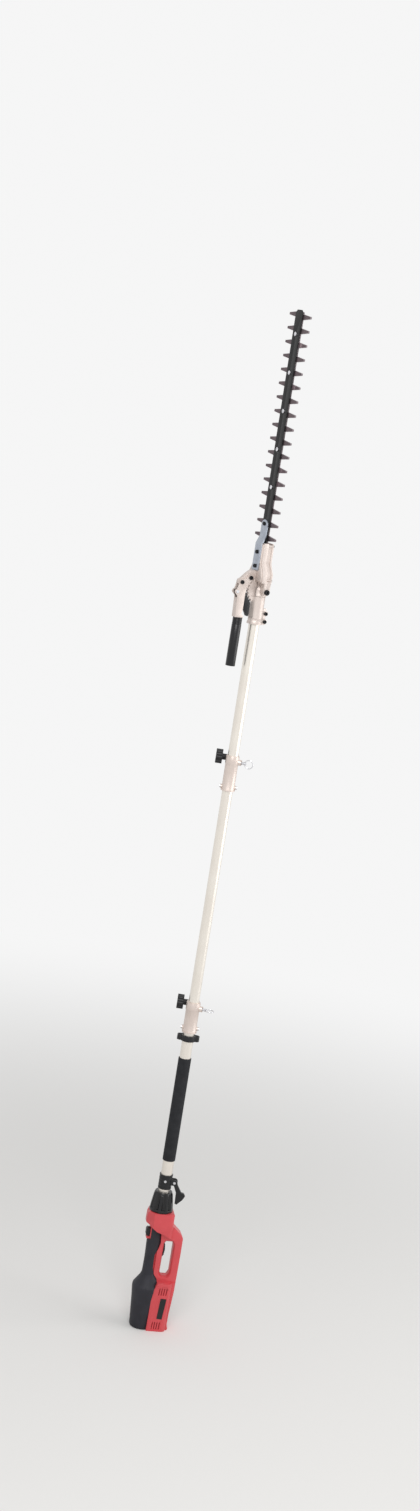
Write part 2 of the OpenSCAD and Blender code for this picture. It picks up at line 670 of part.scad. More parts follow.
module coupling(joint_z, len, r_low, lock_z, screw_z) {
    r_out = max(r_low, tube_r) + slip + sleeve_wall;
    z0 = joint_z - len/2;
    bolt_z = joint_z + len/2 - 9;
    difference() {
        union() {
            translate([0, 0, z0]) cylinder(r = r_out, h = len);
            translate([0, 0, z0]) cylinder(r = r_out + 1.6, h = 3);
            translate([0, 0, bolt_z - 9.6]) cylinder(r = r_out + 0.8, h = 16.3);
            // ears behind the tube
            translate([0, 0, bolt_z]) rotate([0, 0, knob_dir]) {
                translate([-ear_reach, -knob_off, -7.6]) cube([2*ear_reach, knob_off, 15.2]);
                translate([0, -knob_off, 0]) bar_along_x(8, -ear_reach, ear_reach);
            }
            // boss of the lock pin
            translate([0, 0, lock_z]) rotate([0, 0, pin_dir]) bar_along_x(boss_r, 5, r_out + 7);
            // pads of the cross screw
            translate([0, 0, screw_z]) rotate([0, 0, knob_dir]) bar_along_x(4.6, -r_out - 3, r_out + 3);
        }
        translate([0, 0, z0 - 1]) cylinder(r = tube_r + slip, h = len + 2);
        if (r_low > tube_r) translate([0, 0, z0 - 1]) cylinder(r = r_low + slip, h = len/2 + 1);
        // slit between the ears
        translate([0, 0, bolt_z - 10]) rotate([0, 0, knob_dir]) translate([-0.9, -60, 0]) cube([1.8, 60, 30]);
        translate([0, 0, bolt_z]) rotate([0, 0, knob_dir]) translate([0, -knob_off, 0]) bar_along_x(3.2, -40, 40);
        translate([0, 0, lock_z]) rotate([0, 0, pin_dir]) {
            bar_along_x(3.2, 5, 60);
            bar_along_x(5.2, r_out + 0.25, 60);
        }
        translate([0, 0, screw_z]) rotate([0, 0, knob_dir]) bar_along_x(2.1, -40, 40);
    }
}

module upper_coupling() color([0.86, 0.82, 0.79]) coupling(upper_joint_z, upper_sleeve_len, tube_r, lock_z_up, screw_z_up);
module lower_coupling() color([0.86, 0.82, 0.79]) coupling(lower_joint_z, lower_sleeve_len, lower_tube_r, lock_z_low, screw_z_low);

// star knob with its clamp bolt; the bolt's nut sits in the far ear
module knob(joint_z, len) translate([0, 0, joint_z + len/2 - 9]) rotate([0, 0, knob_dir])
    translate([0, -knob_off, 0]) {
        bar_along_x(3.1, -ear_reach - 1, 24);
        bar_along_x(7, ear_reach + loose, 24);
        translate([23, 0, 0]) rotate([0, 90, 0]) difference() {
            cylinder(d = knob_d - 4, h = 15);
            for (i = [0:5]) rotate(i*60) translate([knob_d/2 + 2.5, 0, -1]) cylinder(r = 6.4, h = 20);
            translate([0, 0, 13]) cylinder(r = 6, h = 4);
        }
        for (i = [0:5]) rotate([i*60 + 30, 0, 0]) translate([0, 0, knob_d/2 - 4.8]) bar_along_x(4.8, 23.2, 37.8);
    }
module upper_knob() color([0.1, 0.1, 0.11]) knob(upper_joint_z, upper_sleeve_len);
module lower_knob() color([0.1, 0.1, 0.11]) knob(lower_joint_z, lower_sleeve_len);

// spring lock pin: tip in the tube's hole, collar in the boss, eye outside
function boss_end(r_low) = max(r_low, tube_r) + slip + sleeve_wall + 7;
module lock_pin(z, r_low) translate([0, 0, z]) rotate([0, 0, pin_dir]) difference() {
    end = boss_end(r_low);
    union() {
        bar_along_x(3, tube_r - tube_wall, end + 10);
        bar_along_x(4.7, end - 6.6, end - 5.2);
        bar_along_x(3.4, end + 5, end + 11);
    }
    rotate([z > (lower_joint_z + upper_joint_z)/2 ? 0 : 90, 0, 0]) translate([end + 8, 0, -9])
        cylinder(r = 2.05, h = 18);
}
module upper_lock_pin() color([0.75, 0.75, 0.77]) lock_pin(lock_z_up, tube_r);
module lower_lock_pin() color([0.75, 0.75, 0.77]) lock_pin(lock_z_low, lower_tube_r);

ring_r = 9.4;
ring_wire = 1.1;
// the wire ring passes through the pin's eye
module upper_pull_ring() color([0.85, 0.85, 0.87]) translate([0, 0, lock_z_up]) rotate([0, 0, pin_dir])
    translate([boss_end(tube_r) + 8 + ring_r, 0, 0]) rotate([90, 0, 0]) ring(ring_r, ring_wire);
module lower_pull_ring() color([0.85, 0.85, 0.87]) translate([0, 0, lock_z_low]) rotate([0, 0, pin_dir])
    translate([boss_end(lower_tube_r) + 8 + ring_r, 0, 0]) ring(ring_r, ring_wire);

module coupling_screws() color([0.85, 0.85, 0.87])
    for (p = [[screw_z_up, tube_r], [screw_z_low, lower_tube_r]]) translate([0, 0, p[0]]) rotate([0, 0, knob_dir]) {
        end = max(p[1], tube_r) + slip + sleeve_wall + 3;
        inner = p[1] - tube_wall - 0.4;
        bar_along_x(2, inner, end);
        bar_along_x(2, -end, -inner);
        difference() {
            bar_along_x(3.6, end, end + 2.4);
            translate([end + 1, 0, 0]) rotate([0, 90, 0]) cylinder(r = 1.6, h = 3, $fn = 6);
        }
        difference() {
            bar_along_x(3.6, -end - 2.4, -end);
            translate([-end - 4, 0, 0]) rotate([0, 90, 0]) cylinder(r = 1.6, h = 3, $fn = 6);
        }
    }

// ---------- grip, strap ring, band, collar ----------

module strap_ring() color([0.11, 0.11, 0.12]) translate([0, 0, lower_joint_z - strap_drop]) rotate([0, 0, -30]) difference() {
    union() {
        cylinder(r = lower_tube_r + 4.6, h = strap_h);
        for (s = [-1, 1]) translate([s*(lower_tube_r + 5.6), 0, 0]) cylinder(r = strap_eye_d/2 + 3, h = strap_h);
        translate([-lower_tube_r - 5.6, -5, 0]) cube([2*lower_tube_r + 11.2, 10, strap_h]);
    }
    translate([0, 0, -1]) cylinder(r = lower_tube_r + slip, h = strap_h + 2);
    for (s = [-1, 1]) translate([s*(lower_tube_r + 5.6), 0, -1]) cylinder(d = strap_eye_d, h = strap_h + 2);
}

module grip_sleeve() color([0.18, 0.18, 0.19]) translate([0, 0, housing_h + grip_z])
    tube(lower_tube_r + grip_wall + 0.1, lower_tube_r + 0.1, grip_len);

band_r = lower_tube_r + 2.4;
lever_pin_r = 21.5;         // pole axis to the cam lever's pin
lever_pin_z = housing_h + band_z + 17;
band_screw_z = housing_h + band_z + 20.7;

module clamp_band() color([0.11, 0.11, 0.12]) difference() {
    translate([0, 0, housing_h + band_z]) {
        cylinder(r = band_r - 0.7, h = band_h);
        for (i = [0:4]) translate([0, 0, i*(band_h - 4)/4]) cylinder(r = band_r, h = 4);
        rotate([0, 0, -30]) for (s = [-1, 1]) translate([8, s > 0 ? 4 : -7, 10]) cube([lever_pin_r - 8, 3, 14]);
        rotate([0, 0, -30]) for (s = [-1, 1]) translate([lever_pin_r, 0, 17]) bar_along_y(7, s > 0 ? 4 : -7, s > 0 ? 7 : -4);
    }
    translate([0, 0, housing_h + band_z - 1]) cylinder(r = lower_tube_r + slip, h = band_h + 2);
    translate([0, 0, band_screw_z]) rotate([0, 0, -120]) bar_along_x(1.52, 5, 30);
    translate([0, 0, lever_pin_z]) rotate([0, 0, -30]) translate([lever_pin_r, 0, 0]) bar_along_y(2, -20, 20);
}

// cam lever: closed it lies down along the collar
module clamp_lever() color([0.09, 0.09, 0.1]) translate([0, 0, lever_pin_z]) rotate([0, 0, -30])
    translate([lever_pin_r, 0, 0]) difference() {
        union() {
            bar_along_y(4.6, -3.6, 3.6);
            along_y(-3.6, 3.6) polygon([[-3, 3], [4, 3], [10, -9], [19, -23], [25, -24], [29, -30], [24, -40],
                [12, -53], [7.5, -51], [6.5, -24], [-2, -5]]);
        }
        bar_along_y(2 + run_gap, -20, 20);
    }

module clamp_band_pins() color([0.85, 0.85, 0.87]) {
    translate([0, 0, lever_pin_z]) rotate([0, 0, -30]) translate([lever_pin_r, 0, 0]) {
        bar_along_y(1.98, -7.2, 7.2);
        bar_along_y(3, 7, 8.4);
        bar_along_y(3, -8.4, -7);
    }
    translate([0, 0, band_screw_z]) rotate([0, 0, -120]) difference() {
        union() {
            bar_along_x(1.5, lower_tube_r + 0.4, band_r + e);
            bar_along_x(3, band_r, band_r + 1.6);
        }
        bar_along_x(1.2, band_r + 0.6, band_r + 3);
    }
}

// union nut with flutes
module collar_nut() color([0.08, 0.08, 0.09]) translate([0, 0, housing_h + 0.3]) difference() {
    union() {
        cylinder(r1 = 27.5, r2 = 26, h = 14);
        translate([0, 0, 13.9]) cylinder(r1 = 26, r2 = 22, h = collar_h - 20);
        translate([0, 0, collar_h - 6.2]) cylinder(r1 = 22, r2 = 19.5, h = 6.2);
    }
    for (i = [0:9]) rotate([0, 0, i*36]) translate([29.5, 0, -1]) rotate([0, -6, 0]) cylinder(r = 5.2, h = collar_h);
    translate([0, 0, -1]) cylinder(r = 19.2, h = 23);
    translate([0, 0, 21]) cylinder(r = lower_tube_r + loose, h = collar_h);
}

// ---------- drive line ----------

coupler_z = [fan_z + 24, lower_joint_z - 14, upper_joint_z - 14];

// a shaft with a hexagon tail below and a socket above
module shaft(z0, z1, tail = true, socket = true) difference() {
    union() {
        translate([0, 0, z0]) cylinder(r = shaft_r, h = z1 - z0);
        if (tail) translate([0, 0, z0 - 11.5]) cylinder(r = 2.6, h = 12, $fn = 6);
        if (socket) translate([0, 0, z1 - 14]) cylinder(r = shaft_r + 2, h = 14);
    }
    if (socket) translate([0, 0, z1 - 12]) cylinder(r = 2.8, h = 13, $fn = 6);
}

module upper_drive_shaft() color([0.62, 0.62, 0.64]) {
    shaft(coupler_z[2] + 0.3, pivot_z - 25, true, false);
    translate([0, 0, pivot_z - 25.1]) cylinder(r = 2.95, h = 9);
}
module middle_drive_shaft() color([0.62, 0.62, 0.64]) shaft(coupler_z[1] + 0.3, coupler_z[2]);
module lower_drive_shaft() color([0.62, 0.62, 0.64]) shaft(coupler_z[0] + 0.3, coupler_z[1]);

module shaft_bushes() color([0.15, 0.15, 0.16]) {
    for (f = [0.25, 0.75]) translate([0, 0, housing_h + f*lower_len])
        tube(lower_tube_r - tube_wall - 0.02, shaft_r + run_gap, 16);
    for (f = [0.15, 0.7]) translate([0, 0, lower_joint_z + f*middle_len])
        tube(tube_r - tube_wall - 0.02, shaft_r + run_gap, 16);
    for (f = [0.15, 0.7]) translate([0, 0, upper_joint_z + f*upper_len])
        tube(tube_r - tube_wall - 0.02, shaft_r + run_gap, 16);
    translate([0, 0, pivot_z - 24]) tube(7, 5, 9.6);
}

// ---------- rear unit ----------

module rear_turned() rotate([0, 0, rear_turn]) children();

// (X, Z) outline of the red body without its hole
module red_outline() polygon([[0, 2], [3, 0], [loop_x - 6, 0], [loop_x - 4, 3], [loop_x - 7, 14],
    [loop_x - 6.5, 40], [loop_x - 1.5, 100], [loop_x, 190], [loop_x, hole_z1 + 7], [loop_x - 4, hole_z1 + 14],
    [top_x1 + 1, neck_z - 2], [top_x1, neck_z + 2], [top_x1, housing_h - 2], [top_x1 - 2, housing_h],
    [top_x0 + 4, housing_h], [top_x0, housing_h - 6], [top_x0 - 1, housing_h - 24], [top_x0, shoulder_z - 2],
    [0, shoulder_z - 12], [0, 120]]);

// (X, Z) outline of the finger hole at its narrowest
module hole_outline() polygon([[19, hole_z1 - 11], [23, hole_z1 - 5], [loop_x - loop_bar - 6, hole_z1 - 5],
    [loop_x - loop_bar - 2, hole_z1 - 12], [loop_x - loop_bar - 2, hole_z0 + 14],
    [loop_x - loop_bar - 7, hole_z0 + 4], [23, hole_z0 + 4], [18, hole_z0 + 12]]);

// its outline where it runs out into the flat sides of the loop
module hole_mouth() polygon([[16, hole_z1 - 6], [22, hole_z1], [loop_x - loop_bar - 4, hole_z1],
    [loop_x - loop_bar + 1, hole_z1 - 9], [loop_x - loop_bar + 1, hole_z0 + 12],
    [loop_x - loop_bar - 4, hole_z0 + 1], [22, hole_z0], [14, hole_z0 + 10]]);

mouth_y = 8;            // the hole is straight to this far each side of the middle

module finger_hole() {
    along_y(-40, 40) hole_outline();
    for (s = [-1, 1]) hull() {
        along_y(s > 0 ? mouth_y : -mouth_y - 0.1, s > 0 ? mouth_y + 0.1 : -mouth_y) hole_outline();
        along_y(s > 0 ? loop_depth/2 : -loop_depth/2 - 1, s > 0 ? loop_depth/2 + 1 : -loop_depth/2) hole_mouth();
    }
}

// (X, Z) region under the shoulder, whose lower edge falls towards the loop
module under_shoulder(d = 0) polygon([[-60, -5], [90, -5], [90, shoulder_z - 46 - d], [28, shoulder_z - 13 - d],
    [13, shoulder_z - 5 - d], [-6, shoulder_z + 2 - d], [-21, shoulder_z + 13 - d], [-60, shoulder_z + 26 - d]]);

// outer form of the soft cover, a turned shape whose axis lies in front of the pole's
module cover_form(d = 0) translate([cover_x, 0, 0]) rotate_extrude() polygon([[0, d], [cover_r - 10 - d/2, d],
    [cover_r - 7.5 - d, 1.5 + d/2], [cover_r - 7 - d, 4 + d/2], [cover_r - 2.7 - d, 69],
    [cover_r - d, bulge_z - 10], [cover_r - 1 - d, bulge_z - 3], [rear_grip_r + 4 - d, grip_z0 - 13],
    [rear_grip_r + 0.5 - d, grip_z0 - 4], [rear_grip_r - d, grip_z0 + 8], [rear_grip_r - 0.5 - d, grip_z0 + 34],
    [rear_grip_r + 0.5 - d, shoulder_z - 34], [rear_grip_r + 0.5 - d, shoulder_z + 24], [0, shoulder_z + 24]]);

// side where the cover ends and the red body begins
module cover_side() polygon([[-60, 0], [4, 0], [5, 77], [8.5, 104], [14.5, 117], [13, 124], [5, 135], [0, 152],
    [-0.5, shoulder_z - 60], [7, shoulder_z - 44], [10, shoulder_z - 30], [8, shoulder_z - 10],
    [5, shoulder_z + 30], [-60, shoulder_z + 30]]);

frame_z = shoulder_z - 24;      // underside of the frame round the lock-off button

module red_form() {
    // lower body
    intersection() {
        along_y(-40, 40) difference() {
            red_outline();
            translate([-60, hole_z0 - 8]) square([200, 200]);
        }
        union() {
            round_box(0, loop_x, loop_depth/2 + 4, 8, 200);
            round_box(-30, loop_x - 10, body_depth/2, 12, 200);
        }
    }
    // loop and grip front
    intersection() {
        difference() {
            along_y(-loop_depth/2, loop_depth/2) difference() {
                red_outline();
                translate([-60, -1]) square([200, hole_z0 - 19]);
            }
            finger_hole();
        }
        translate([4, -30, hole_z0 - 25]) cube([100, 60, housing_h - hole_z0 + 10]);
    }
    // shoulder under the collar
    intersection() {
        along_y(-40, 40) difference() {
            red_outline();
            under_shoulder();
        }
        union() {
            translate([0, 0, shoulder_z - 30]) round_box(top_x0 - 3, top_x1 + 1.5, top_y, 12, 100);
            along_y(-loop_depth/2, loop_depth/2) translate([14, hole_z1 + 1]) square([60, 60]);
        }
    }
    translate([0, 0, housing_h - 2]) cylinder(r = 18.8, h = 20);   // spigot in the collar nut
    // motor tube, cone and grip core under the soft cover
    cover_form(cover_t + slip);
    // L-frame that guards the lock-off button
    along_y(-13, 13) polygon([[-14, frame_z], [-10, frame_z], [-10, shoulder_z + 10], [-14, shoulder_z + 12]]);
    along_y(-8, 8) polygon([[-25, frame_z], [-13, frame_z], [-13, frame_z + 4], [-25, frame_z + 4]]);
}

module trigger_pocket() translate([4, -6.3, trigger_pin[1] - 41]) cube([30, 12.6, 46]);

// everything the shells make room for
bearing_r = 7.5;

module housing_cuts() {
    difference() {
        translate([0, 0, 6]) cylinder(r = motor_r + 0.3, h = fan_z + 12);
        // seat of the tail bearing
        translate([0, 0, 5]) tube(11, bearing_r, 9);
    }
    translate([0, 0, 4.5]) cylinder(r = bearing_r, h = 300);
    translate([0, 0, housing_h - 30.1]) cylinder(r = lower_tube_r + 0.05, h = 60);
    // switch and trigger
    translate([4, -8.2, trigger_pin[1] - 79]) cube([8, 16.4, 40]);
    trigger_pocket();
    // lock-off button
    translate([-40, -button_y - 0.4, frame_z + 5]) cube([40 + button_x + button_travel + loose, 2*button_y + 0.8, 22]);
    translate([-10, -3.3, frame_z + 12]) cube([6, 6.6, 10]);
    // vents
    for (s = [-1, 1], z = [[90, 18, 29.5], [5, 18, 24]], i = [0:3])
        translate([z[2] + (i - 1.5)*5.6, s*body_depth/2, z[0]]) rotate([0, 4, 0]) translate([-1.1, -8, 0])
            cube([2.2, 16, z[1]]);
    // bare recess for a plate, one on each side
    for (s = [-1, 1]) translate([27, s*(body_depth/2), 56]) rotate([0, 3, 0]) cube([15, 2, 53], center = true);
    for (p = housing_screw_places) translate([p[0], 0, p[1]]) {
        bar_along_y(1.8, -screw_len - 0.3, 40);
        bar_along_y(3.6, p[2] - 3, 40);
    }
    translate([38, 0, -1]) cylinder(r = 7.02, h = 15.2);
}

// [x, z, y of the seat under the screw's head]
housing_screw_places = [[loop_x - 15, 20, 12], [loop_x - 8, hole_z0 - 9, 9], [loop_x - 7, hole_z1 + 3, 9],
    [23.5, housing_h - 9, 19], [-21, housing_h - 9, 19], [loop_x - 16, 70, 12]];
screw_len = 8;          // how far the shanks reach past the middle

module housing_half(s) difference() {
    red_form();
    // the soft cover's place
    difference() {
        along_y(-80, 80) intersection() {
            cover_side();
            under_shoulder();
        }
        cover_form(cover_t + slip);
        translate([-40, -13, frame_z]) cube([30, 26, 60]);
    }
    translate([-150, s > 0 ? -100 : 0, -10]) cube([300, 100, 400]);
    housing_cuts();
}

// the left shell carries the trigger's moulded pin
module housing_left() rear_turned() color([0.8, 0.27, 0.29]) {
    housing_half(-1);
    translate([trigger_pin[0], 0, trigger_pin[1]]) bar_along_y(1.5, -7, 6.2);
}
module housing_right() rear_turned() color([0.8, 0.27, 0.29]) housing_half(1);

module soft_cover() rear_turned() color([0.2, 0.2, 0.23]) difference() {
    intersection() {
        cover_form();
        along_y(-80, 80) intersection() {
            cover_side();
            under_shoulder(slip);
        }
    }
    cover_form(cover_t);
    trigger_pocket();
    translate([-40, -13 - slip, frame_z - slip]) cube([30 + slip, 26 + 2*slip, 70]);
}

// swings about a pin at its top
trigger_pin = [12, hole_z1 - 7];

module trigger() rear_turned() color([0.1, 0.1, 0.11]) difference() {
    along_y(-5.8, 5.8) translate([0, trigger_pin[1] - 229]) polygon([[9, 231], [14, 232.5], [18, 231], [22, 222],
        [23.5, 208], [22, 196], [19.5, 191.5], [17, 192], [15, 200], [13, 205], [11.5, 218]]);
    translate([trigger_pin[0], 0, trigger_pin[1]]) bar_along_y(1.5 + run_gap, -20, 20);
}

button_x = -12.6;       // inner face of the button
button_y = 6.8;

module lock_off_button() rear_turned() color([0.13, 0.13, 0.14]) {
    along_y(-button_y, button_y) translate([0, frame_z]) polygon([[-27, 9], [-26, 6.5], [button_x, 6.5],
        [button_x, 25], [-25, 25], [-27, 22]]);
    translate([button_x - e, -2.8, frame_z + 13]) cube([1.4, 5.6, 8]);
}

module small_springs() rear_turned() color([0.8, 0.8, 0.82]) {
    // of the lock-off button and of the trigger
    translate([button_x + 4.45, 0, frame_z + 17]) rotate([0, 90, 0]) coil(2.2, 0.35, 5);
    translate([4.2, 0, trigger_pin[1] - 20]) rotate([0, 90, 0]) coil(3, 0.4, 3);
}

module switch_box() rear_turned() color([0.14, 0.14, 0.15]) {
    translate([4.2, -8, trigger_pin[1] - 78.8]) cube([7.6, 16, 37]);
}

// ---------- motor ----------

module motor_field() rear_turned() color([0.5, 0.5, 0.52]) translate([0, 0, motor_z]) difference() {
    union() {
        cylinder(r = motor_r, h = motor_len);
        for (a = [0, 180]) rotate(a) translate([12, -11, -7]) cube([8, 22, motor_len + 11]);
    }
    translate([0, 0, -20]) cylinder(r = 16, h = motor_len + 40);
    for (a = [90, 270]) rotate(a) translate([20, -4, -1]) cube([10, 8, motor_len + 2]);
}

module rotor() color([0.6, 0.42, 0.25]) {
    translate([0, 0, 8.5]) cylinder(r = 3.98, h = coupler_z[0] - 14 - 8.5 + 1);
    translate([0, 0, motor_z + 2]) linear_extrude(motor_len - 4) gear_outline(12, 11, 15.4, 0.72);
    translate([0, 0, motor_z - 14]) difference() {
        cylinder(r = 10, h = 12);
        for (i = [0:11]) rotate(i*30 + 15) translate([9.2, -0.25, -1]) cube([2, 0.5, 11]);
    }
    translate([0, 0, motor_z - 3]) cylinder(r = 8, h = motor_len + 6);
    difference() {
        translate([0, 0, coupler_z[0] - 14]) cylinder(r = 6, h = 14);
        translate([0, 0, coupler_z[0] - 12]) cylinder(r = 2.8, h = 13, $fn = 6);
    }
}

module cooling_fan() color([0.15, 0.15, 0.16]) translate([0, 0, fan_z]) difference() {
    union() {
        cylinder(r = 22.5, h = 1.6);
        cylinder(r = 7, h = 9);
        for (i = [0:fan_blades - 1]) rotate(i*360/fan_blades) translate([6, 0, 1]) rotate([0, 0, 18])
            cube([15, 1.4, 8]);
    }
    translate([0, 0, -1]) cylinder(r = 4, h = 12);
}

module motor_bearings() color([0.7, 0.7, 0.72]) {
    translate([0, 0, 8]) tube(bearing_r - 0.02, 4, 6);
    translate([0, 0, fan_z + 18]) difference() {
        tube(bearing_r - 0.02, 6.02, 5.6);
    }
}

module brush_holders() rear_turned() color([0.6, 0.5, 0.2]) for (s = [-1, 1]) translate([0, 0, motor_z - 8])
    bar_along_y(4, s > 0 ? 10.2 : -motor_r + 0.4, s > 0 ? motor_r - 0.4 : -10.2);

module cable_inlet() rear_turned() color([0.1, 0.1, 0.11]) translate([38, 0, 0]) difference() {
    union() {
        translate([0, 0, 0.02]) cylinder(r = 7, h = 14);
    }
    translate([0, 0, -1]) cylinder(r = 3.6, h = 12);
}

module housing_screws() rear_turned() color([0.25, 0.25, 0.26]) for (p = housing_screw_places) translate([p[0], 0, p[1]]) {
    bar_along_y(1.75, -screw_len, p[2]);
    difference() {
        bar_along_y(3.4, p[2] - 2.9, p[2]);
        translate([0, p[2] + 2, 0]) rotate([90, 0, 0]) cylinder(r = 1.6, h = 3.6, $fn = 6);
    }
}

blade_bar();
upper_blade();
lower_blade();
blade_bolts();
blade_bracket();
bracket_bolts();
gear_case_front();
gear_case_back();
gear_case_screws();
crank_gear();
crank_bushes();
head_pinion();
head_bush();
idler_gear();
pole_pinion();
tilt_pivot_bolt();
tilt_handle_arm();
tilt_handle_grip();
release_lever();
lever_pin();
arm_bolts();
tube_clamp();
clamp_bolts();
upper_tube();
middle_tube();
lower_tube();
upper_coupling();
lower_coupling();
upper_knob();
lower_knob();
upper_lock_pin();
lower_lock_pin();
upper_pull_ring();
lower_pull_ring();
coupling_screws();
strap_ring();
grip_sleeve();
clamp_band();
clamp_lever();
clamp_band_pins();
collar_nut();
upper_drive_shaft();
middle_drive_shaft();
lower_drive_shaft();
shaft_bushes();
housing_left();
housing_right();
soft_cover();
trigger();
lock_off_button();
small_springs();
switch_box();
motor_field();
rotor();
cooling_fan();
motor_bearings();
brush_holders();
cable_inlet();
housing_screws();
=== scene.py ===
import math
import bpy
from mathutils import Matrix, Vector
from mathutils.bvhtree import BVHTree


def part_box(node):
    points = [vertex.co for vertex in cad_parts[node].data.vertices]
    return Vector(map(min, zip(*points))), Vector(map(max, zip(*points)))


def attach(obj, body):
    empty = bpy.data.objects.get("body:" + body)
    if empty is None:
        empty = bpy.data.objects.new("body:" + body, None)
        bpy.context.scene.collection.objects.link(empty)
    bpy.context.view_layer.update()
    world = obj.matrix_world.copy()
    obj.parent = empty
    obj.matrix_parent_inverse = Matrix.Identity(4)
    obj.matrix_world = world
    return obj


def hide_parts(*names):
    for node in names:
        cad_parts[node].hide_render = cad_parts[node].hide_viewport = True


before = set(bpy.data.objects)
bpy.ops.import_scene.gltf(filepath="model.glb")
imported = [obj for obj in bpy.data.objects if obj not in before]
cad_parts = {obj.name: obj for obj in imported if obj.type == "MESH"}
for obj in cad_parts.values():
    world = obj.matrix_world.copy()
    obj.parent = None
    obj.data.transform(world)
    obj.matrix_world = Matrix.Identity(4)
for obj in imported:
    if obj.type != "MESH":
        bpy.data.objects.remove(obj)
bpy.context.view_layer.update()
mm = 0.001  # Blender works in metres here, and the sizes below are in millimetres
# mm and degrees, all far too small to see
tolerance = {"weld": 0.0005, "nodeWeld": 0.002, "flat": 0.4, "corner": 0.02}
print("frame loaded:", len(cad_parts), "nodes")


def deselect():
    bpy.ops.object.select_all(action="DESELECT")


def pick(piece):  # selected alone, and active
    deselect()
    piece.select_set(True)
    bpy.context.view_layer.objects.active = piece


def settle(piece):  # its place goes into its mesh
    pick(piece)
    bpy.ops.object.transform_apply(location=True, rotation=True, scale=True)
    return piece


def place(piece, move=(0, 0, 0), turn=(0, 0, 0)):  # millimetres and degrees
    piece.rotation_euler = [math.radians(angle) for angle in turn]
    piece.location = Vector(move) * mm
    return settle(piece)


def useModifier(piece, kind, **settings):
    pick(piece)
    modifier = piece.modifiers.new(kind.title(), kind)
    for key, value in settings.items():
        setattr(modifier, key, value)
    bpy.ops.object.modifier_apply(modifier=modifier.name)
    return piece


def soften(piece, width, angle=32, segments=3):  # rounds the edges sharper than angle
    return useModifier(piece, "BEVEL", width=width * mm, segments=segments, limit_method="ANGLE",
                       angle_limit=math.radians(angle), use_clamp_overlap=True, harden_normals=False)


def cutWith(piece, *tools, mode="DIFFERENCE"):
    for tool in tools:
        useModifier(piece, "BOOLEAN", operation=mode, object=tool, solver="EXACT")
        bpy.data.objects.remove(tool)
    return piece


def addTo(piece, *others):
    return cutWith(piece, *others, mode="UNION")


def choose(piece, kind, test):  # selects faces or corners by place, in millimetres, and by normal
    bpy.ops.object.mode_set(mode="OBJECT")
    mesh = piece.data
    for group in (mesh.vertices, mesh.edges, mesh.polygons):
        group.foreach_set("select", [False] * len(group))
    if kind == "FACE":
        for face in mesh.polygons:
            face.select = test(face.center / mm, face.normal)
    else:
        for vertex in mesh.vertices:
            vertex.select = test(vertex.co / mm, vertex.normal)
    bpy.context.tool_settings.mesh_select_mode = (kind == "VERT", False, kind == "FACE")
    bpy.ops.object.mode_set(mode="EDIT")


def done():
    bpy.ops.object.mode_set(mode="OBJECT")


def turned(name, steps, segments=64):
    # a ring whose section runs through (height, radius) steps and closes on the first
    deselect()
    height, radius = steps[0]
    bpy.ops.mesh.primitive_circle_add(vertices=segments, radius=radius * mm, location=(0, 0, height * mm),
                                      fill_type="NOTHING")
    piece = settle(bpy.context.object)
    piece.name = name
    bpy.ops.object.mode_set(mode="EDIT")
    bpy.ops.mesh.select_mode(type="VERT")
    bpy.ops.mesh.select_all(action="SELECT")
    for up, out in steps[1:] + steps[:1]:
        bpy.ops.mesh.extrude_edges_move(TRANSFORM_OT_translate={"value": (0, 0, (up - height) * mm)})
        bpy.ops.transform.resize(value=(out / radius, out / radius, 1), center_override=(0, 0, up * mm))
        height, radius = up, out
    bpy.ops.mesh.select_all(action="SELECT")
    bpy.ops.mesh.remove_doubles(threshold=tolerance["weld"] * mm)
    bpy.ops.mesh.normals_make_consistent(inside=False)
    done()
    return piece


# how a drawn outline (u, v) and its pull (w) lie in the model's axes
outlinePlanes = {"Y": Matrix(((1, 0, 0, 0), (0, 0, -1, 0), (0, 1, 0, 0), (0, 0, 0, 1))),
                 "Z": Matrix.Identity(4)}


def drawn(name, corners, low, high, along="Y", arc=5):
    # an outline drawn corner by corner (u, v, how far back it is rounded), pulled out along one axis
    deselect()
    bpy.ops.mesh.primitive_plane_add(size=mm)
    piece = bpy.context.object
    piece.name = name
    bpy.ops.object.mode_set(mode="EDIT")
    bpy.ops.mesh.select_mode(type="VERT")
    bpy.ops.mesh.select_all(action="SELECT")
    bpy.ops.mesh.merge(type="CENTER")
    start = -high if along == "Y" else low
    bpy.ops.transform.translate(value=Vector((corners[0][0], corners[0][1], start)) * mm)
    for a, b in zip(corners, corners[1:]):
        step = Vector((b[0] - a[0], b[1] - a[1], 0)) * mm
        bpy.ops.mesh.extrude_vertices_move(TRANSFORM_OT_translate={"value": step})
    bpy.ops.mesh.select_all(action="SELECT")
    bpy.ops.mesh.edge_face_add()
    for back in sorted({corner[2] for corner in corners if corner[2] > 0}):
        spots = [Vector((u, v, start)) for u, v, rounding in corners if rounding == back]
        choose(piece, "VERT", lambda p, n: any((p - spot).length < tolerance["corner"] for spot in spots))
        bpy.ops.mesh.bevel(offset=back * mm, segments=arc, affect="VERTICES", clamp_overlap=True)
    bpy.ops.mesh.select_mode(type="FACE")
    bpy.ops.mesh.select_all(action="SELECT")
    bpy.ops.mesh.extrude_region_move(TRANSFORM_OT_translate={"value": (0, 0, (high - low) * mm)})
    bpy.ops.mesh.select_all(action="SELECT")
    bpy.ops.mesh.normals_make_consistent(inside=False)
    done()
    piece.matrix_world = outlinePlanes[along]
    return settle(piece)


def crossRod(name, radius, low, high, y, z, segments=48):  # round bar along X
    deselect()
    bpy.ops.mesh.primitive_cylinder_add(vertices=segments, radius=radius * mm, depth=(high - low) * mm)
    piece = bpy.context.object
    piece.name = name
    return place(piece, ((low + high) / 2, y, z), (0, 90, 0))


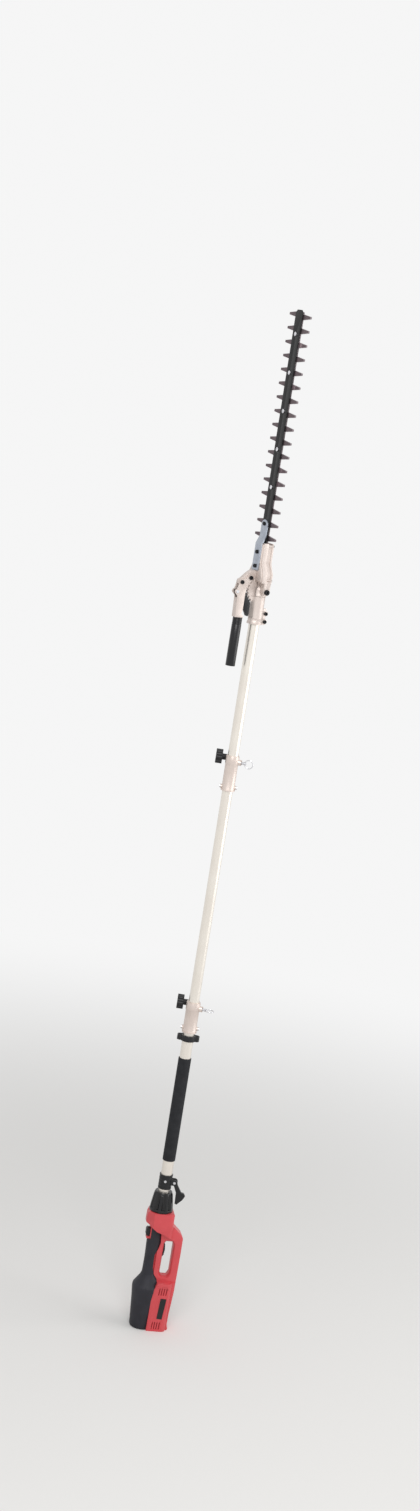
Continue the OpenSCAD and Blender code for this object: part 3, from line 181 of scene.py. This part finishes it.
def softenedNode(node, name, width):  # a CAD node's own shape with its edges rounded
    pick(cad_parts[node])
    bpy.ops.object.duplicate(linked=False)
    piece = bpy.context.object
    piece.parent = None
    piece.name = name
    for key in list(piece.keys()):  # the copy isn't a CAD node
        del piece[key]
    bpy.ops.object.mode_set(mode="EDIT")
    bpy.ops.mesh.select_all(action="SELECT")
    bpy.ops.mesh.remove_doubles(threshold=tolerance["nodeWeld"] * mm)
    bpy.ops.mesh.dissolve_limited(angle_limit=math.radians(tolerance["flat"]))
    done()
    return soften(piece, width, segments=2) if width else piece


def smooth(piece, angle=30):
    pick(piece)
    bpy.ops.object.shade_smooth_by_angle(angle=math.radians(angle))


def dress(piece, material, body, *nodes):
    smooth(piece)
    piece.data.materials.clear()
    piece.data.materials.append(material)
    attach(piece, body)
    if nodes:
        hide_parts(*nodes)
    return piece


def dressNodes(pieces):  # node: name of its piece, edge rounding in mm, finish, body it rides on
    for node, (name, edge, finish, body) in pieces.items():
        dress(softenedNode(node, name, edge), finishes[finish], body, node)


def heights(node):  # lowest and highest z of a CAD node in millimetres
    low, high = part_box(node)
    return low.z / mm, high.z / mm


def hexColour(text):  # sRGB to linear
    parts = [int(text[i:i + 2], 16) / 255 for i in (1, 3, 5)]
    return [c / 12.92 if c <= 0.04045 else ((c + 0.055) / 1.055) ** 2.4 for c in parts] + [1]


def addNode(tree, kind, settings=None, links=None):
    # settings are the node's own options or input values; links name another node and its output
    node = tree.nodes.new(kind)
    for key, value in (settings or {}).items():
        if isinstance(key, int) or key in node.inputs:
            node.inputs[key].default_value = value
        else:
            setattr(node, key, value)
    for key, (source, output) in (links or {}).items():
        tree.links.new(source.outputs[output], node.inputs[key])
    return node


def newMaterial(name, **sockets):
    material = bpy.data.materials.new(name)
    material.use_nodes = True
    shader = material.node_tree.nodes["Principled BSDF"]
    for key, value in sockets.items():
        shader.inputs[key.replace("_", " ")].default_value = value
    return material, shader


noiseSpan = (0.3, 0.7)  # nearly all of a noise lies between these


def patterned(tree, shader, look, where, pattern, cloudSpan):
    # clouds slowly change the shade, and the fine pattern breaks up the gloss and gives the relief
    cloud = addNode(tree, "ShaderNodeTexNoise", {"Scale": 1 / (look["cloudMm"] * mm), "Detail": 2},
                    {"Vector": (where, "Object")})
    shade = addNode(tree, "ShaderNodeValToRGB", links={"Fac": (cloud, "Fac")})
    for element, position, key in zip(shade.color_ramp.elements, cloudSpan, ("darker", "colour")):
        element.position = position
        element.color = hexColour(look[key])
    gloss = addNode(tree, "ShaderNodeMapRange", {"From Min": noiseSpan[0], "From Max": noiseSpan[1],
                    "To Min": look["roughness"][0], "To Max": look["roughness"][1]},
                    {"Value": (pattern, "Fac")})
    relief = addNode(tree, "ShaderNodeBump", {"Strength": look["bump"], "Distance": look["reliefMm"] * mm},
                     {"Height": (pattern, "Fac")})
    tree.links.new(shade.outputs["Color"], shader.inputs["Base Color"])
    tree.links.new(gloss.outputs["Result"], shader.inputs["Roughness"])
    tree.links.new(relief.outputs["Normal"], shader.inputs["Normal"])


plasticIor = 1.5


def moulded(name, look):
    # the skin of a spark-eroded mould, of a coating or of a dip: a fine even grain
    metallic = look.get("metallic", 0)
    material, shader = newMaterial(name, Metallic=metallic, Specular_IOR_Level=look.get("specular", 0.5))
    if not metallic:
        shader.inputs["IOR"].default_value = plasticIor
    tree = material.node_tree
    where = addNode(tree, "ShaderNodeTexCoord")
    grain = addNode(tree, "ShaderNodeTexNoise",
                    {"Scale": 1 / (look["grainMm"] * mm), "Detail": 3, "Roughness": 0.6},
                    {"Vector": (where, "Object")})
    patterned(tree, shader, look, where, grain, cloudSpan=(0.35, 0.65))
    return material


# patterns are drawn at about 1 mm, coarser than the real skin, so that they show in the render
looks = {
    # injection-moulded ABS with a soft satin skin: light edges, even colour
    "redAbs": {"colour": "#D04A50", "darker": "#C9444A", "roughness": (0.34, 0.46), "grainMm": 0.7,
               "cloudMm": 40, "reliefMm": 0.02, "bump": 0.25},
    # overmoulded thermoplastic rubber: matt, and only a weak shine on its edges
    "softTpe": {"colour": "#2B2B32", "darker": "#26262C", "roughness": (0.5, 0.62), "grainMm": 0.8,
                "cloudMm": 25, "reliefMm": 0.04, "bump": 0.3, "specular": 0.3},
    # closed-cell EVA foam: dull and pitted
    "evaFoam": {"colour": "#28292C", "darker": "#212225", "roughness": (0.78, 0.95), "grainMm": 1.3,
                "cloudMm": 14, "reliefMm": 0.12, "bump": 0.5, "specular": 0.3},
    # glass-filled nylon from a polished mould: black, with clear highlights
    "glossBlackNylon": {"colour": "#0F0F12", "darker": "#0C0C0F", "roughness": (0.16, 0.24), "grainMm": 1.2,
                        "cloudMm": 30, "reliefMm": 0.01, "bump": 0.1, "specular": 0.45},
    # the same nylon from an eroded mould: black and satin
    "blackNylon": {"colour": "#18181B", "darker": "#141416", "roughness": (0.36, 0.5), "grainMm": 0.8,
                   "cloudMm": 20, "reliefMm": 0.02, "bump": 0.3, "specular": 0.4},
    # polycarbonate label stock, left bare: flat black with a soft shine
    "plateBlack": {"colour": "#121214", "darker": "#0F0F11", "roughness": (0.24, 0.3), "grainMm": 0.5,
                   "cloudMm": 20, "reliefMm": 0.005, "bump": 0.05, "specular": 0.5},
    # dipped vinyl on the tilt handle: glossy, slightly uneven
    "vinylBlack": {"colour": "#101013", "darker": "#0D0D10", "roughness": (0.22, 0.32), "grainMm": 4,
                   "cloudMm": 18, "reliefMm": 0.05, "bump": 0.25, "specular": 0.45},
    # powder-coated aluminium casting: warm white, satin
    "castAluminium": {"colour": "#D8CCC5", "darker": "#CEC1BA", "roughness": (0.36, 0.5), "grainMm": 1.4,
                      "cloudMm": 26, "reliefMm": 0.05, "bump": 0.3, "metallic": 0.35},
    # black-oxidised spring steel bar: nearly flat black
    "blackBar": {"colour": "#1B1B1C", "darker": "#171718", "roughness": (0.4, 0.52), "grainMm": 1.2,
                 "cloudMm": 30, "reliefMm": 0.02, "bump": 0.2, "metallic": 0.3},
    # black-oxidised screw heads: black with a steel highlight
    "blackOxideSteel": {"colour": "#1D1D20", "darker": "#18181A", "roughness": (0.3, 0.42), "grainMm": 0.8,
                        "cloudMm": 10, "reliefMm": 0.02, "bump": 0.2, "metallic": 0.6},
    # polished or nickel-plated steel: bright, mirrors the room softly
    "brightSteel": {"colour": "#DADADD", "darker": "#CFCFD3", "roughness": (0.16, 0.26), "grainMm": 0.8,
                    "cloudMm": 8, "reliefMm": 0.01, "bump": 0.1, "metallic": 1},
    # sintered bronze of the bushes: yellow-brown and dull
    "bronze": {"colour": "#B08A4F", "darker": "#A07C45", "roughness": (0.35, 0.5), "grainMm": 0.8,
               "cloudMm": 6, "reliefMm": 0.02, "bump": 0.2, "metallic": 1},
    # machined gear steel: mid grey, satin
    "gearSteel": {"colour": "#9A9A9D", "darker": "#8C8C90", "roughness": (0.28, 0.4), "grainMm": 0.8,
                  "cloudMm": 8, "reliefMm": 0.01, "bump": 0.2, "metallic": 1},
    # enamelled copper wire on the motor's field: red-brown and ribbed
    "copperWinding": {"colour": "#B5683A", "darker": "#9A552E", "roughness": (0.3, 0.45), "grainMm": 1.1,
                      "cloudMm": 5, "reliefMm": 0.1, "bump": 0.5, "metallic": 1},
}


def brushed(name, look):
    # drawn, rolled or ground metal: fine lines along the pole, where lineRatio is below 1
    material, shader = newMaterial(name, Metallic=look["metallic"])
    tree = material.node_tree
    where = addNode(tree, "ShaderNodeTexCoord")
    stretch = addNode(tree, "ShaderNodeMapping", {"Scale": (1, 1, look["lineRatio"])},
                      {"Vector": (where, "Object")})
    lines = addNode(tree, "ShaderNodeTexNoise",
                    {"Scale": 1 / (look["lineMm"] * mm), "Detail": 4, "Roughness": 0.6},
                    {"Vector": (stretch, "Vector")})
    patterned(tree, shader, look, where, lines, cloudSpan=(0.3, 0.7))
    return material


brushedLooks = {
    # clear-anodised drawn tube: warm bright silver
    "tubeAluminium": {"colour": "#EDE7DE", "darker": "#E6DFD6", "roughness": (0.26, 0.36), "lineMm": 0.9,
                      "lineRatio": 0.03, "cloudMm": 60, "bump": 0.15, "reliefMm": 0.01, "metallic": 0.75},
    # machined coupling sleeve: pinker and duller than the tube
    "sleeveAluminium": {"colour": "#DDD0C8", "darker": "#D3C5BD", "roughness": (0.36, 0.46), "lineMm": 1.0,
                        "lineRatio": 0.2, "cloudMm": 30, "bump": 0.15, "reliefMm": 0.01, "metallic": 0.6},
    # ground tool steel of the teeth: mauve-grey
    "toothSteel": {"colour": "#6A5C60", "darker": "#5C5054", "roughness": (0.26, 0.4), "lineMm": 0.8,
                   "lineRatio": 1, "cloudMm": 18, "bump": 0.15, "reliefMm": 0.02, "metallic": 0.8},
    # the same steel where the wheel has ground it, painted much lighter as a highlight: a bright line along each
    # edge
    "groundSteelHighlight": {"colour": "#C9C0C3", "darker": "#BDB3B7", "roughness": (0.2, 0.34), "lineMm": 0.7,
                    "lineRatio": 1, "cloudMm": 12, "bump": 0.1, "reliefMm": 0.01, "metallic": 0.85},
    # bright zinc plate with a blue cast
    "zincPlate": {"colour": "#B3B9C3", "darker": "#A5ABB6", "roughness": (0.25, 0.4), "lineMm": 0.9,
                  "lineRatio": 0.1, "cloudMm": 12, "bump": 0.15, "reliefMm": 0.02, "metallic": 0.85},
}

finishes = {name: moulded(name, look) for name, look in looks.items()}
finishes.update({name: brushed(name, look) for name, look in brushedLooks.items()})
print("materials:", len(finishes))

# degrees, metres, and millimetres of lens and sensor; settled by the image points, by aim alone
view = {"azimuth": -30, "elevation": 10.6, "distance": 4.876, "lens": 52, "sensor": 36, "roll": 8.93,
        "aim": (-0.04415, 0.02549, 1.3691)}


def addCamera():
    azimuth, elevation, roll = (math.radians(view[key]) for key in ("azimuth", "elevation", "roll"))
    level = math.cos(elevation)
    back = Vector((math.sin(azimuth) * level, -math.cos(azimuth) * level, math.sin(elevation)))
    right = (-back).cross(Vector((0, 0, 1))).normalized()
    up = right.cross(-back)
    turnedRight = right * math.cos(roll) + up * math.sin(roll)
    turnedUp = up * math.cos(roll) - right * math.sin(roll)
    data = bpy.data.cameras.new("photoView")
    data.lens = view["lens"]
    data.sensor_fit = "AUTO"
    data.sensor_width = view["sensor"]
    camera = bpy.data.objects.new("photoView", data)
    bpy.context.scene.collection.objects.link(camera)
    axes = Matrix((turnedRight, turnedUp, back)).transposed().to_4x4()
    axes.translation = Vector(view["aim"]) + back * view["distance"]
    camera.matrix_world = axes
    bpy.context.scene.camera = camera
    return camera


photoSize = (420, 1511)
photoLong = max(photoSize)

# x, y in the photo's frame of the middle of what shows of each thing
# the last four are the object's own edges
imagePoints = {
    "bladeTip": (304.0, 309.5), "bracketTopBolt": (265.2, 523.0), "caseBoltUpper": (256.0, 552.0),
    "caseBoltLower": (253.7, 566.2), "pivotBolt": (268.0, 593.3), "clampBoltUpper": (265.5, 615.2),
    "clampBoltLower": (265.5, 623.5), "leverPin": (239.5, 591.0), "sidePlate": (161.3, 1309.1),
    "clampSeamUpper": (257.5, 597.2), "clampSeamLower": (251.8, 618.4),
    "leftEdge": (130.6, 1320.9), "rightEdge": (313.5, 316.0),
    "topEdge": (299.2, 309.2), "bottomEdge": (161.8, 1332.6),
}


def alongPoint(x, y):  # start and direction of the ray through an image point
    data = camera.data
    ray = Vector((x - photoSize[0] / 2 + data.shift_x * photoLong,
                  photoSize[1] / 2 - y + data.shift_y * photoLong,
                  -photoLong * data.lens / data.sensor_width))
    return camera.matrix_world.translation.copy(), (camera.matrix_world.to_3x3() @ ray).normalized()


def onPhoto(spot):  # the image point that a place shows at
    data = camera.data
    at = camera.matrix_world.inverted() @ spot
    size = photoLong * data.lens / data.sensor_width / -at.z
    return (photoSize[0] / 2 - data.shift_x * photoLong + at.x * size,
            photoSize[1] / 2 + data.shift_y * photoLong - at.y * size)


def surfaceOf(*pieces):
    spots, faces = [], []
    for piece in pieces:
        first = len(spots)
        spots += [piece.matrix_world @ vertex.co for vertex in piece.data.vertices]
        faces += [[first + i for i in face.vertices] for face in piece.data.polygons]
    return BVHTree.FromPolygons(spots, faces)


raySearch = {"from": 4.0, "step": 0.002, "steps": 900}  # metres along a ray that misses


def placeAt(name, *carriers):  # where the ray through an image point meets what carries the new piece
    start, way = alongPoint(*imagePoints[name])
    surface = surfaceOf(*carriers)
    spot = surface.ray_cast(start, way)[0]
    if spot is None:  # a miss takes the place nearest the ray
        reaches = [raySearch["from"] + raySearch["step"] * i for i in range(raySearch["steps"])]
        nearest = (surface.find_nearest(start + way * reach) for reach in reaches)
        spot = min(nearest, key=lambda found: found[3])[0]
    return spot / mm


camera = addCamera()
bpy.context.view_layer.update()
print("camera set")

# mm of bevel along every edge, ground steel painted bright as a highlight, and degrees
teethLook = {"groundHighlightWidth": 0.9, "sharperThan": 50, "smooth": 25}


def groundHighlightBlade(node, name):
    # the CAD plate with its teeth; the bevel is the ground edge, painted bright as a highlight, and takes the
    # second material
    piece = softenedNode(node, name, 0)
    piece.data.materials.clear()
    piece.data.materials.append(finishes["toothSteel"])
    piece.data.materials.append(finishes["groundSteelHighlight"])
    useModifier(piece, "BEVEL", width=teethLook["groundHighlightWidth"] * mm, segments=1, limit_method="ANGLE",
                angle_limit=math.radians(teethLook["sharperThan"]), material=1)
    smooth(piece, teethLook["smooth"])
    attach(piece, node)
    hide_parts(node)


groundHighlightBlade("upper_blade", "upperBlade")
groundHighlightBlade("lower_blade", "lowerBlade")
dressNodes({
    "blade_bar": ("guideBar", 0.4, "blackBar", "head"),
    "blade_bolts": ("bladeBolts", 0.35, "brightSteel", "head"),
    "blade_bracket": ("bladeBracket", 0.5, "zincPlate", "head"),
    "bracket_bolts": ("bracketBolts", 0.35, "blackOxideSteel", "head"),
})
print("cutter done")

dressNodes({"gear_case_front": ("caseFront", 0.7, "castAluminium", "head")})
# bosses cast round each screw where it crosses the groove; out is from the middle of the case
caseBoss = {"radius": 3.1, "upperOut": 13.9, "lowerOut": 27, "screwHead": 3, "tailShort": 2, "headShort": 4,
            "edge": 0.3}
caseBack = softenedNode("gear_case_back", "caseBack", 0.7)
low, high = (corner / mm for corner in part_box("gear_case_screws"))
for up, out in ((high.z - caseBoss["screwHead"], caseBoss["upperOut"]),
                (low.z + caseBoss["screwHead"], caseBoss["lowerOut"])):
    for sign in (-1, 1):
        boss = crossRod("boss", caseBoss["radius"], low.x + caseBoss["tailShort"], high.x - caseBoss["headShort"],
                        sign * out, up)
        addTo(caseBack, soften(boss, caseBoss["edge"]))
dress(caseBack, finishes["castAluminium"], "head", "gear_case_back")

clampSeam = {"wide": 0.7, "deep": 0.5, "past": 6}  # parting lines round the casting
tubeClamp = softenedNode("tube_clamp", "tubeClamp", 0.5)
for name in ("clampSeamUpper", "clampSeamLower"):
    at = placeAt(name, tubeClamp)
    skin = math.hypot(at.x, at.y)
    inner, outer, top = skin - clampSeam["deep"], skin + clampSeam["past"], at.z + clampSeam["wide"]
    cutWith(tubeClamp, turned("seamRing", [(at.z, inner), (at.z, outer), (top, outer), (top, inner)]))
dress(tubeClamp, finishes["castAluminium"], "pole", "tube_clamp")
dressNodes({
    "tilt_handle_arm": ("tiltArm", 0.8, "castAluminium", "head"),
    "tilt_handle_grip": ("tiltGrip", 0.5, "vinylBlack", "head"),
    "release_lever": ("releaseLever", 0.8, "blackNylon", "release_lever"),
    "arm_bolts": ("armBolts", 0.3, "blackOxideSteel", "head"),
    "tilt_pivot_bolt": ("pivotBolt", 0.4, "blackOxideSteel", "head"),
    "clamp_bolts": ("clampBolts", 0.3, "blackOxideSteel", "pole"),
})
print("head done")

dressNodes({
    "upper_coupling": ("upperCoupling", 0.6, "sleeveAluminium", "pole"),
    "upper_knob": ("upperKnob", 0.9, "blackNylon", "upper_knob"),
    "lower_coupling": ("lowerCoupling", 0.6, "sleeveAluminium", "pole"),
    "lower_knob": ("lowerKnob", 0.9, "blackNylon", "lower_knob"),
})
foam = {"bore": 13.1, "end": [(0, 14.2), (0.5, 14.7), (1.2, 14.8)]}  # end: height from it, and radius there
lowZ, highZ = heights("grip_sleeve")
foamOutside = [(lowZ + up, out) for up, out in foam["end"]]
foamOutside += [(highZ - up, out) for up, out in reversed(foam["end"])]
foamSleeve = turned("foamSleeve", foamOutside + [(highZ, foam["bore"]), (lowZ, foam["bore"])])
dress(foamSleeve, finishes["evaFoam"], "pole", "grip_sleeve")
dressNodes({
    "strap_ring": ("strapRing", 1.0, "blackNylon", "pole"),
    "clamp_band": ("clampBand", 0.35, "blackNylon", "pole"),
    "clamp_lever": ("clampLever", 1.0, "glossBlackNylon", "clamp_lever"),
})
# rim round the collar's foot: height over the foot, and radius there
collar = {"rim": [(0.2, 24.6), (0.2, 27.0), (0.8, 27.3), (4.5, 27.3), (5.5, 26.1), (7.0, 24.6)], "edge": 0.8}
collarNut = softenedNode("collar_nut", "collarNut", 0)
foot = heights("collar_nut")[0]
addTo(collarNut, turned("collarRim", [(foot + up, out) for up, out in collar["rim"]]))
dress(soften(collarNut, collar["edge"]), finishes["glossBlackNylon"], "collar", "collar_nut")
print("pole done")

rearTurn = -20  # degrees; the rear unit is drawn square to the pole, then turned as the CAD is
shoulder = {"nose": -31.5, "flat": 7, "back": -15, "side": 31, "low": 238, "high": 292, "past": 9}
# shallow field round the vents and the plate; corners are x, z and rounding
sidePanel = {"sunk": 1.05, "face": 30.5, "past": 3,
             "corners": [(15.5, 4.5, 2), (34.5, 4.5, 2), (43.5, 102, 6), (40, 111, 5), (29, 113.5, 5),
                         (20.5, 106, 4)]}
shellEdge = {"width": 1.1, "angle": 34}


def sidePanelCut(sign):
    floor, past = sidePanel["face"] - sidePanel["sunk"], sidePanel["face"] + sidePanel["past"]
    low, high = sorted((sign * floor, sign * past))
    return place(drawn("field", sidePanel["corners"], low, high), turn=(0, 0, rearTurn))


def shoulderCut(sign):  # takes the front corner of the shoulder off
    nose, back, past = shoulder["nose"], shoulder["back"], shoulder["past"]
    flat, side, outside = (sign * far for far in (shoulder["flat"], shoulder["side"], shoulder["side"] + past))
    corners = [(nose - past, flat, 0), (nose, flat, 0), (back, side, 0), (back, outside, 0),
               (nose - past, outside, 0)]
    return place(drawn("corner", corners, shoulder["low"], shoulder["high"], along="Z"), turn=(0, 0, rearTurn))


shells = {}
for side, sign in (("left", -1), ("right", 1)):
    shell = softenedNode("housing_" + side, side + "Shell", 0)
    cutWith(shell, sidePanelCut(sign), shoulderCut(sign))
    soften(shell, shellEdge["width"], shellEdge["angle"])
    shells[side] = dress(shell, finishes["redAbs"], "pole", "housing_" + side)

# bare black plate with a fine raised border
# stand: share of its thickness that its middle lies in front of the field
sidePlate = {"wide": 13.6, "high": 51, "lean": 3, "thick": 0.9, "round": 1.2, "border": 1.1, "raised": 0.25,
             "edge": 0.15, "edgeAngle": 40, "stand": 0.4}


def platePiece(name, middle, outwards):
    u, v, rounding = sidePlate["wide"] / 2, sidePlate["high"] / 2, sidePlate["round"]
    corners = [(-u, -v, rounding), (u, -v, rounding), (u, v, rounding), (-u, v, rounding)]
    piece = drawn(name, corners, -sidePlate["thick"] / 2, sidePlate["thick"] / 2)
    choose(piece, "FACE", lambda p, n: n.y * outwards > 0.9)  # the outer face
    bpy.ops.mesh.inset(thickness=sidePlate["border"] * mm, depth=-sidePlate["raised"] * mm)
    done()
    soften(piece, sidePlate["edge"], sidePlate["edgeAngle"], segments=2)
    place(piece, turn=(0, sidePlate["lean"], 0))
    return dress(place(piece, move=middle, turn=(0, 0, rearTurn)), finishes["plateBlack"], "pole")


handleAxes = Matrix.Rotation(math.radians(rearTurn), 3, "Z")
middle = handleAxes.inverted() @ placeAt("sidePlate", shells["left"])
for name, sign in (("sidePlateLeft", -1), ("sidePlateRight", 1)):
    flat = Vector((middle.x, sign * (abs(middle.y) + sidePlate["thick"] * sidePlate["stand"]), middle.z))
    platePiece(name, handleAxes @ flat, sign)
dressNodes({
    "soft_cover": ("softCover", 0.6, "softTpe", "pole"),
    "trigger": ("triggerPiece", 0.8, "glossBlackNylon", "trigger"),
    "lock_off_button": ("lockOffButton", 0.6, "blackNylon", "lock_off"),
})
print("rear unit done")

# these CAD nodes keep their shape
keptNodes = {
    "tubeAluminium": ["upper_tube", "middle_tube", "lower_tube"],
    "brightSteel": ["upper_lock_pin", "lower_lock_pin", "upper_pull_ring", "lower_pull_ring", "coupling_screws",
                    "clamp_band_pins", "lever_pin", "motor_bearings", "small_springs"],
    "blackOxideSteel": ["gear_case_screws", "housing_screws"],
    "gearSteel": ["crank_gear", "head_pinion", "idler_gear", "pole_pinion", "upper_drive_shaft",
                  "middle_drive_shaft", "lower_drive_shaft", "rotor"],
    "bronze": ["crank_bushes", "head_bush"],
    "blackNylon": ["shaft_bushes", "switch_box", "cooling_fan", "brush_holders", "cable_inlet"],
    "copperWinding": ["motor_field"],
}
for finish, nodes in keptNodes.items():
    for node in nodes:
        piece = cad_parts[node]
        piece.data.materials.clear()
        piece.data.materials.append(finishes[finish])
print("kept nodes dressed")

# the fade is in metres from the origin, the floor lies its gap in mm below the part
studio = {"floorColour": "#E9E8E6", "floorRoughness": 0.9, "floorShine": 0.1, "floorSize": 80, "floorGap": 0.2,
          "fadeFrom": 0.7, "fadeTo": 3.2, "backdrop": 0.92, "lightStrength": 0.55, "lampAim": (0, 0, 1.0),
          "lamps": {"keyLight": {"watts": 78, "spot": (-1.6, -2.6, 3.4), "size": 2.4},
                    "fillLight": {"watts": 34, "spot": (2.4, -1.6, 1.6), "size": 2.4}}}


def seenByEye(tree):  # 1 for camera, glossy and transmission rays, 0 for those that carry light to the object
    path = addNode(tree, "ShaderNodeLightPath")
    total = addNode(tree, "ShaderNodeMath", {"operation": "MAXIMUM"},
                    {0: (path, "Is Camera Ray"), 1: (path, "Is Glossy Ray")})
    return addNode(tree, "ShaderNodeMath", {"operation": "MAXIMUM"},
                   {0: (path, "Is Transmission Ray"), 1: (total, 0)})


def paleFloor():  # matt paper that takes the shadow and fades into the pale backdrop with distance
    material, shader = newMaterial("paleFloor", Base_Color=hexColour(studio["floorColour"]),
                                   Roughness=studio["floorRoughness"], Specular_IOR_Level=studio["floorShine"])
    tree = material.node_tree
    where = addNode(tree, "ShaderNodeTexCoord")
    away = addNode(tree, "ShaderNodeVectorMath", {"operation": "LENGTH"}, {0: (where, "Object")})
    fade = addNode(tree, "ShaderNodeMapRange", {"From Min": studio["fadeFrom"], "From Max": studio["fadeTo"],
                   "interpolation_type": "SMOOTHSTEP"}, {"Value": (away, "Value")})
    both = addNode(tree, "ShaderNodeMath", {"operation": "MULTIPLY"},
                   {0: (fade, "Result"), 1: (seenByEye(tree), 0)})
    glow = addNode(tree, "ShaderNodeEmission", {"Strength": studio["backdrop"]})
    mix = addNode(tree, "ShaderNodeMixShader", links={0: (both, 0), 1: (shader, 0), 2: (glow, 0)})
    tree.links.new(mix.outputs[0], tree.nodes["Material Output"].inputs["Surface"])
    return material


def addFloor():
    deselect()
    bpy.ops.mesh.primitive_plane_add(size=studio["floorSize"], location=(0, 0, -studio["floorGap"] * mm))
    floor = settle(bpy.context.object)
    floor.name = "floor"
    floor.data.materials.append(paleFloor())


def addWorld():  # soft even light, and a plain pale backdrop that only the eye sees
    world = bpy.data.worlds.new("softStudio")
    world.use_nodes = True
    tree = world.node_tree
    white = (1, 1, 1, 1)
    light = tree.nodes["Background"]
    light.inputs["Color"].default_value = white
    light.inputs["Strength"].default_value = studio["lightStrength"]
    shown = addNode(tree, "ShaderNodeBackground", {"Color": white, "Strength": studio["backdrop"]})
    mix = addNode(tree, "ShaderNodeMixShader", links={0: (seenByEye(tree), 0), 1: (light, 0), 2: (shown, 0)})
    tree.links.new(mix.outputs[0], tree.nodes["World Output"].inputs["Surface"])
    bpy.context.scene.world = world


def addLamps():
    for name, lamp in studio["lamps"].items():
        deselect()
        bpy.ops.object.light_add(type="AREA", location=lamp["spot"])
        light = bpy.context.object
        light.name = name
        light.data.energy = lamp["watts"]
        light.data.size = lamp["size"]
        aim = Vector(studio["lampAim"]) - Vector(lamp["spot"])
        light.rotation_euler = aim.to_track_quat("-Z", "Y").to_euler()


addFloor()
addWorld()
addLamps()
bpy.context.scene.view_settings.view_transform = "Standard"
print("stage and lights set")

# the piece that shows at each point, and how many pixels round the point belong to it
pointPieces = {
    "bladeTip": ("guideBar", 8), "bracketTopBolt": ("bracketBolts", 5), "caseBoltUpper": ("bracketBolts", 5),
    "caseBoltLower": ("bracketBolts", 5), "pivotBolt": ("pivotBolt", 7), "clampBoltUpper": ("clampBolts", 4),
    "clampBoltLower": ("clampBolts", 4), "leverPin": ("lever_pin", 6), "sidePlate": ("sidePlateLeft", 30),
    "clampSeamUpper": ("tubeClamp", 1.6), "clampSeamLower": ("tubeClamp", 1.6),
}
# the object's edges: 0 for x or 1 for y, and the way outwards
pointEdges = {"leftEdge": (0, -1), "rightEdge": (0, 1), "topEdge": (1, -1), "bottomEdge": (1, 1)}


def writePoints():  # how far each thing shows from its point
    pieces = [p for p in bpy.data.objects if p.type == "MESH" and not p.hide_render and p.name != "floor"]
    everything = surfaceOf(*pieces)
    eye = camera.matrix_world.translation

    def shows(spot):  # nothing stands before it, but for the last 0.6 mm
        way = spot - eye
        return everything.ray_cast(eye, way.normalized(), way.length - 0.6 * mm)[0] is None

    def middleShown(name, part, within):
        x, y = imagePoints[name]
        found = []
        for vertex in bpy.data.objects[part].data.vertices:
            u, v = onPhoto(vertex.co)
            if abs(u - x) < within and abs(v - y) < within and shows(vertex.co):
                found.append((u, v))
        if not found:
            return None
        us, vs = zip(*found)
        return (min(us) + max(us)) / 2 - x, (min(vs) + max(vs)) / 2 - y

    offsets = {name: middleShown(name, part, within) for name, (part, within) in pointPieces.items()}
    for name, (axis, way) in pointEdges.items():
        spots = sorted(((way * onPhoto(v.co)[axis], v.co) for p in pieces for v in p.data.vertices),
                       key=lambda spot: -spot[0])
        shown = onPhoto(next(spot for far, spot in spots if shows(spot)))
        offsets[name] = tuple(shown[i] - imagePoints[name][i] for i in (0, 1))


writePoints()
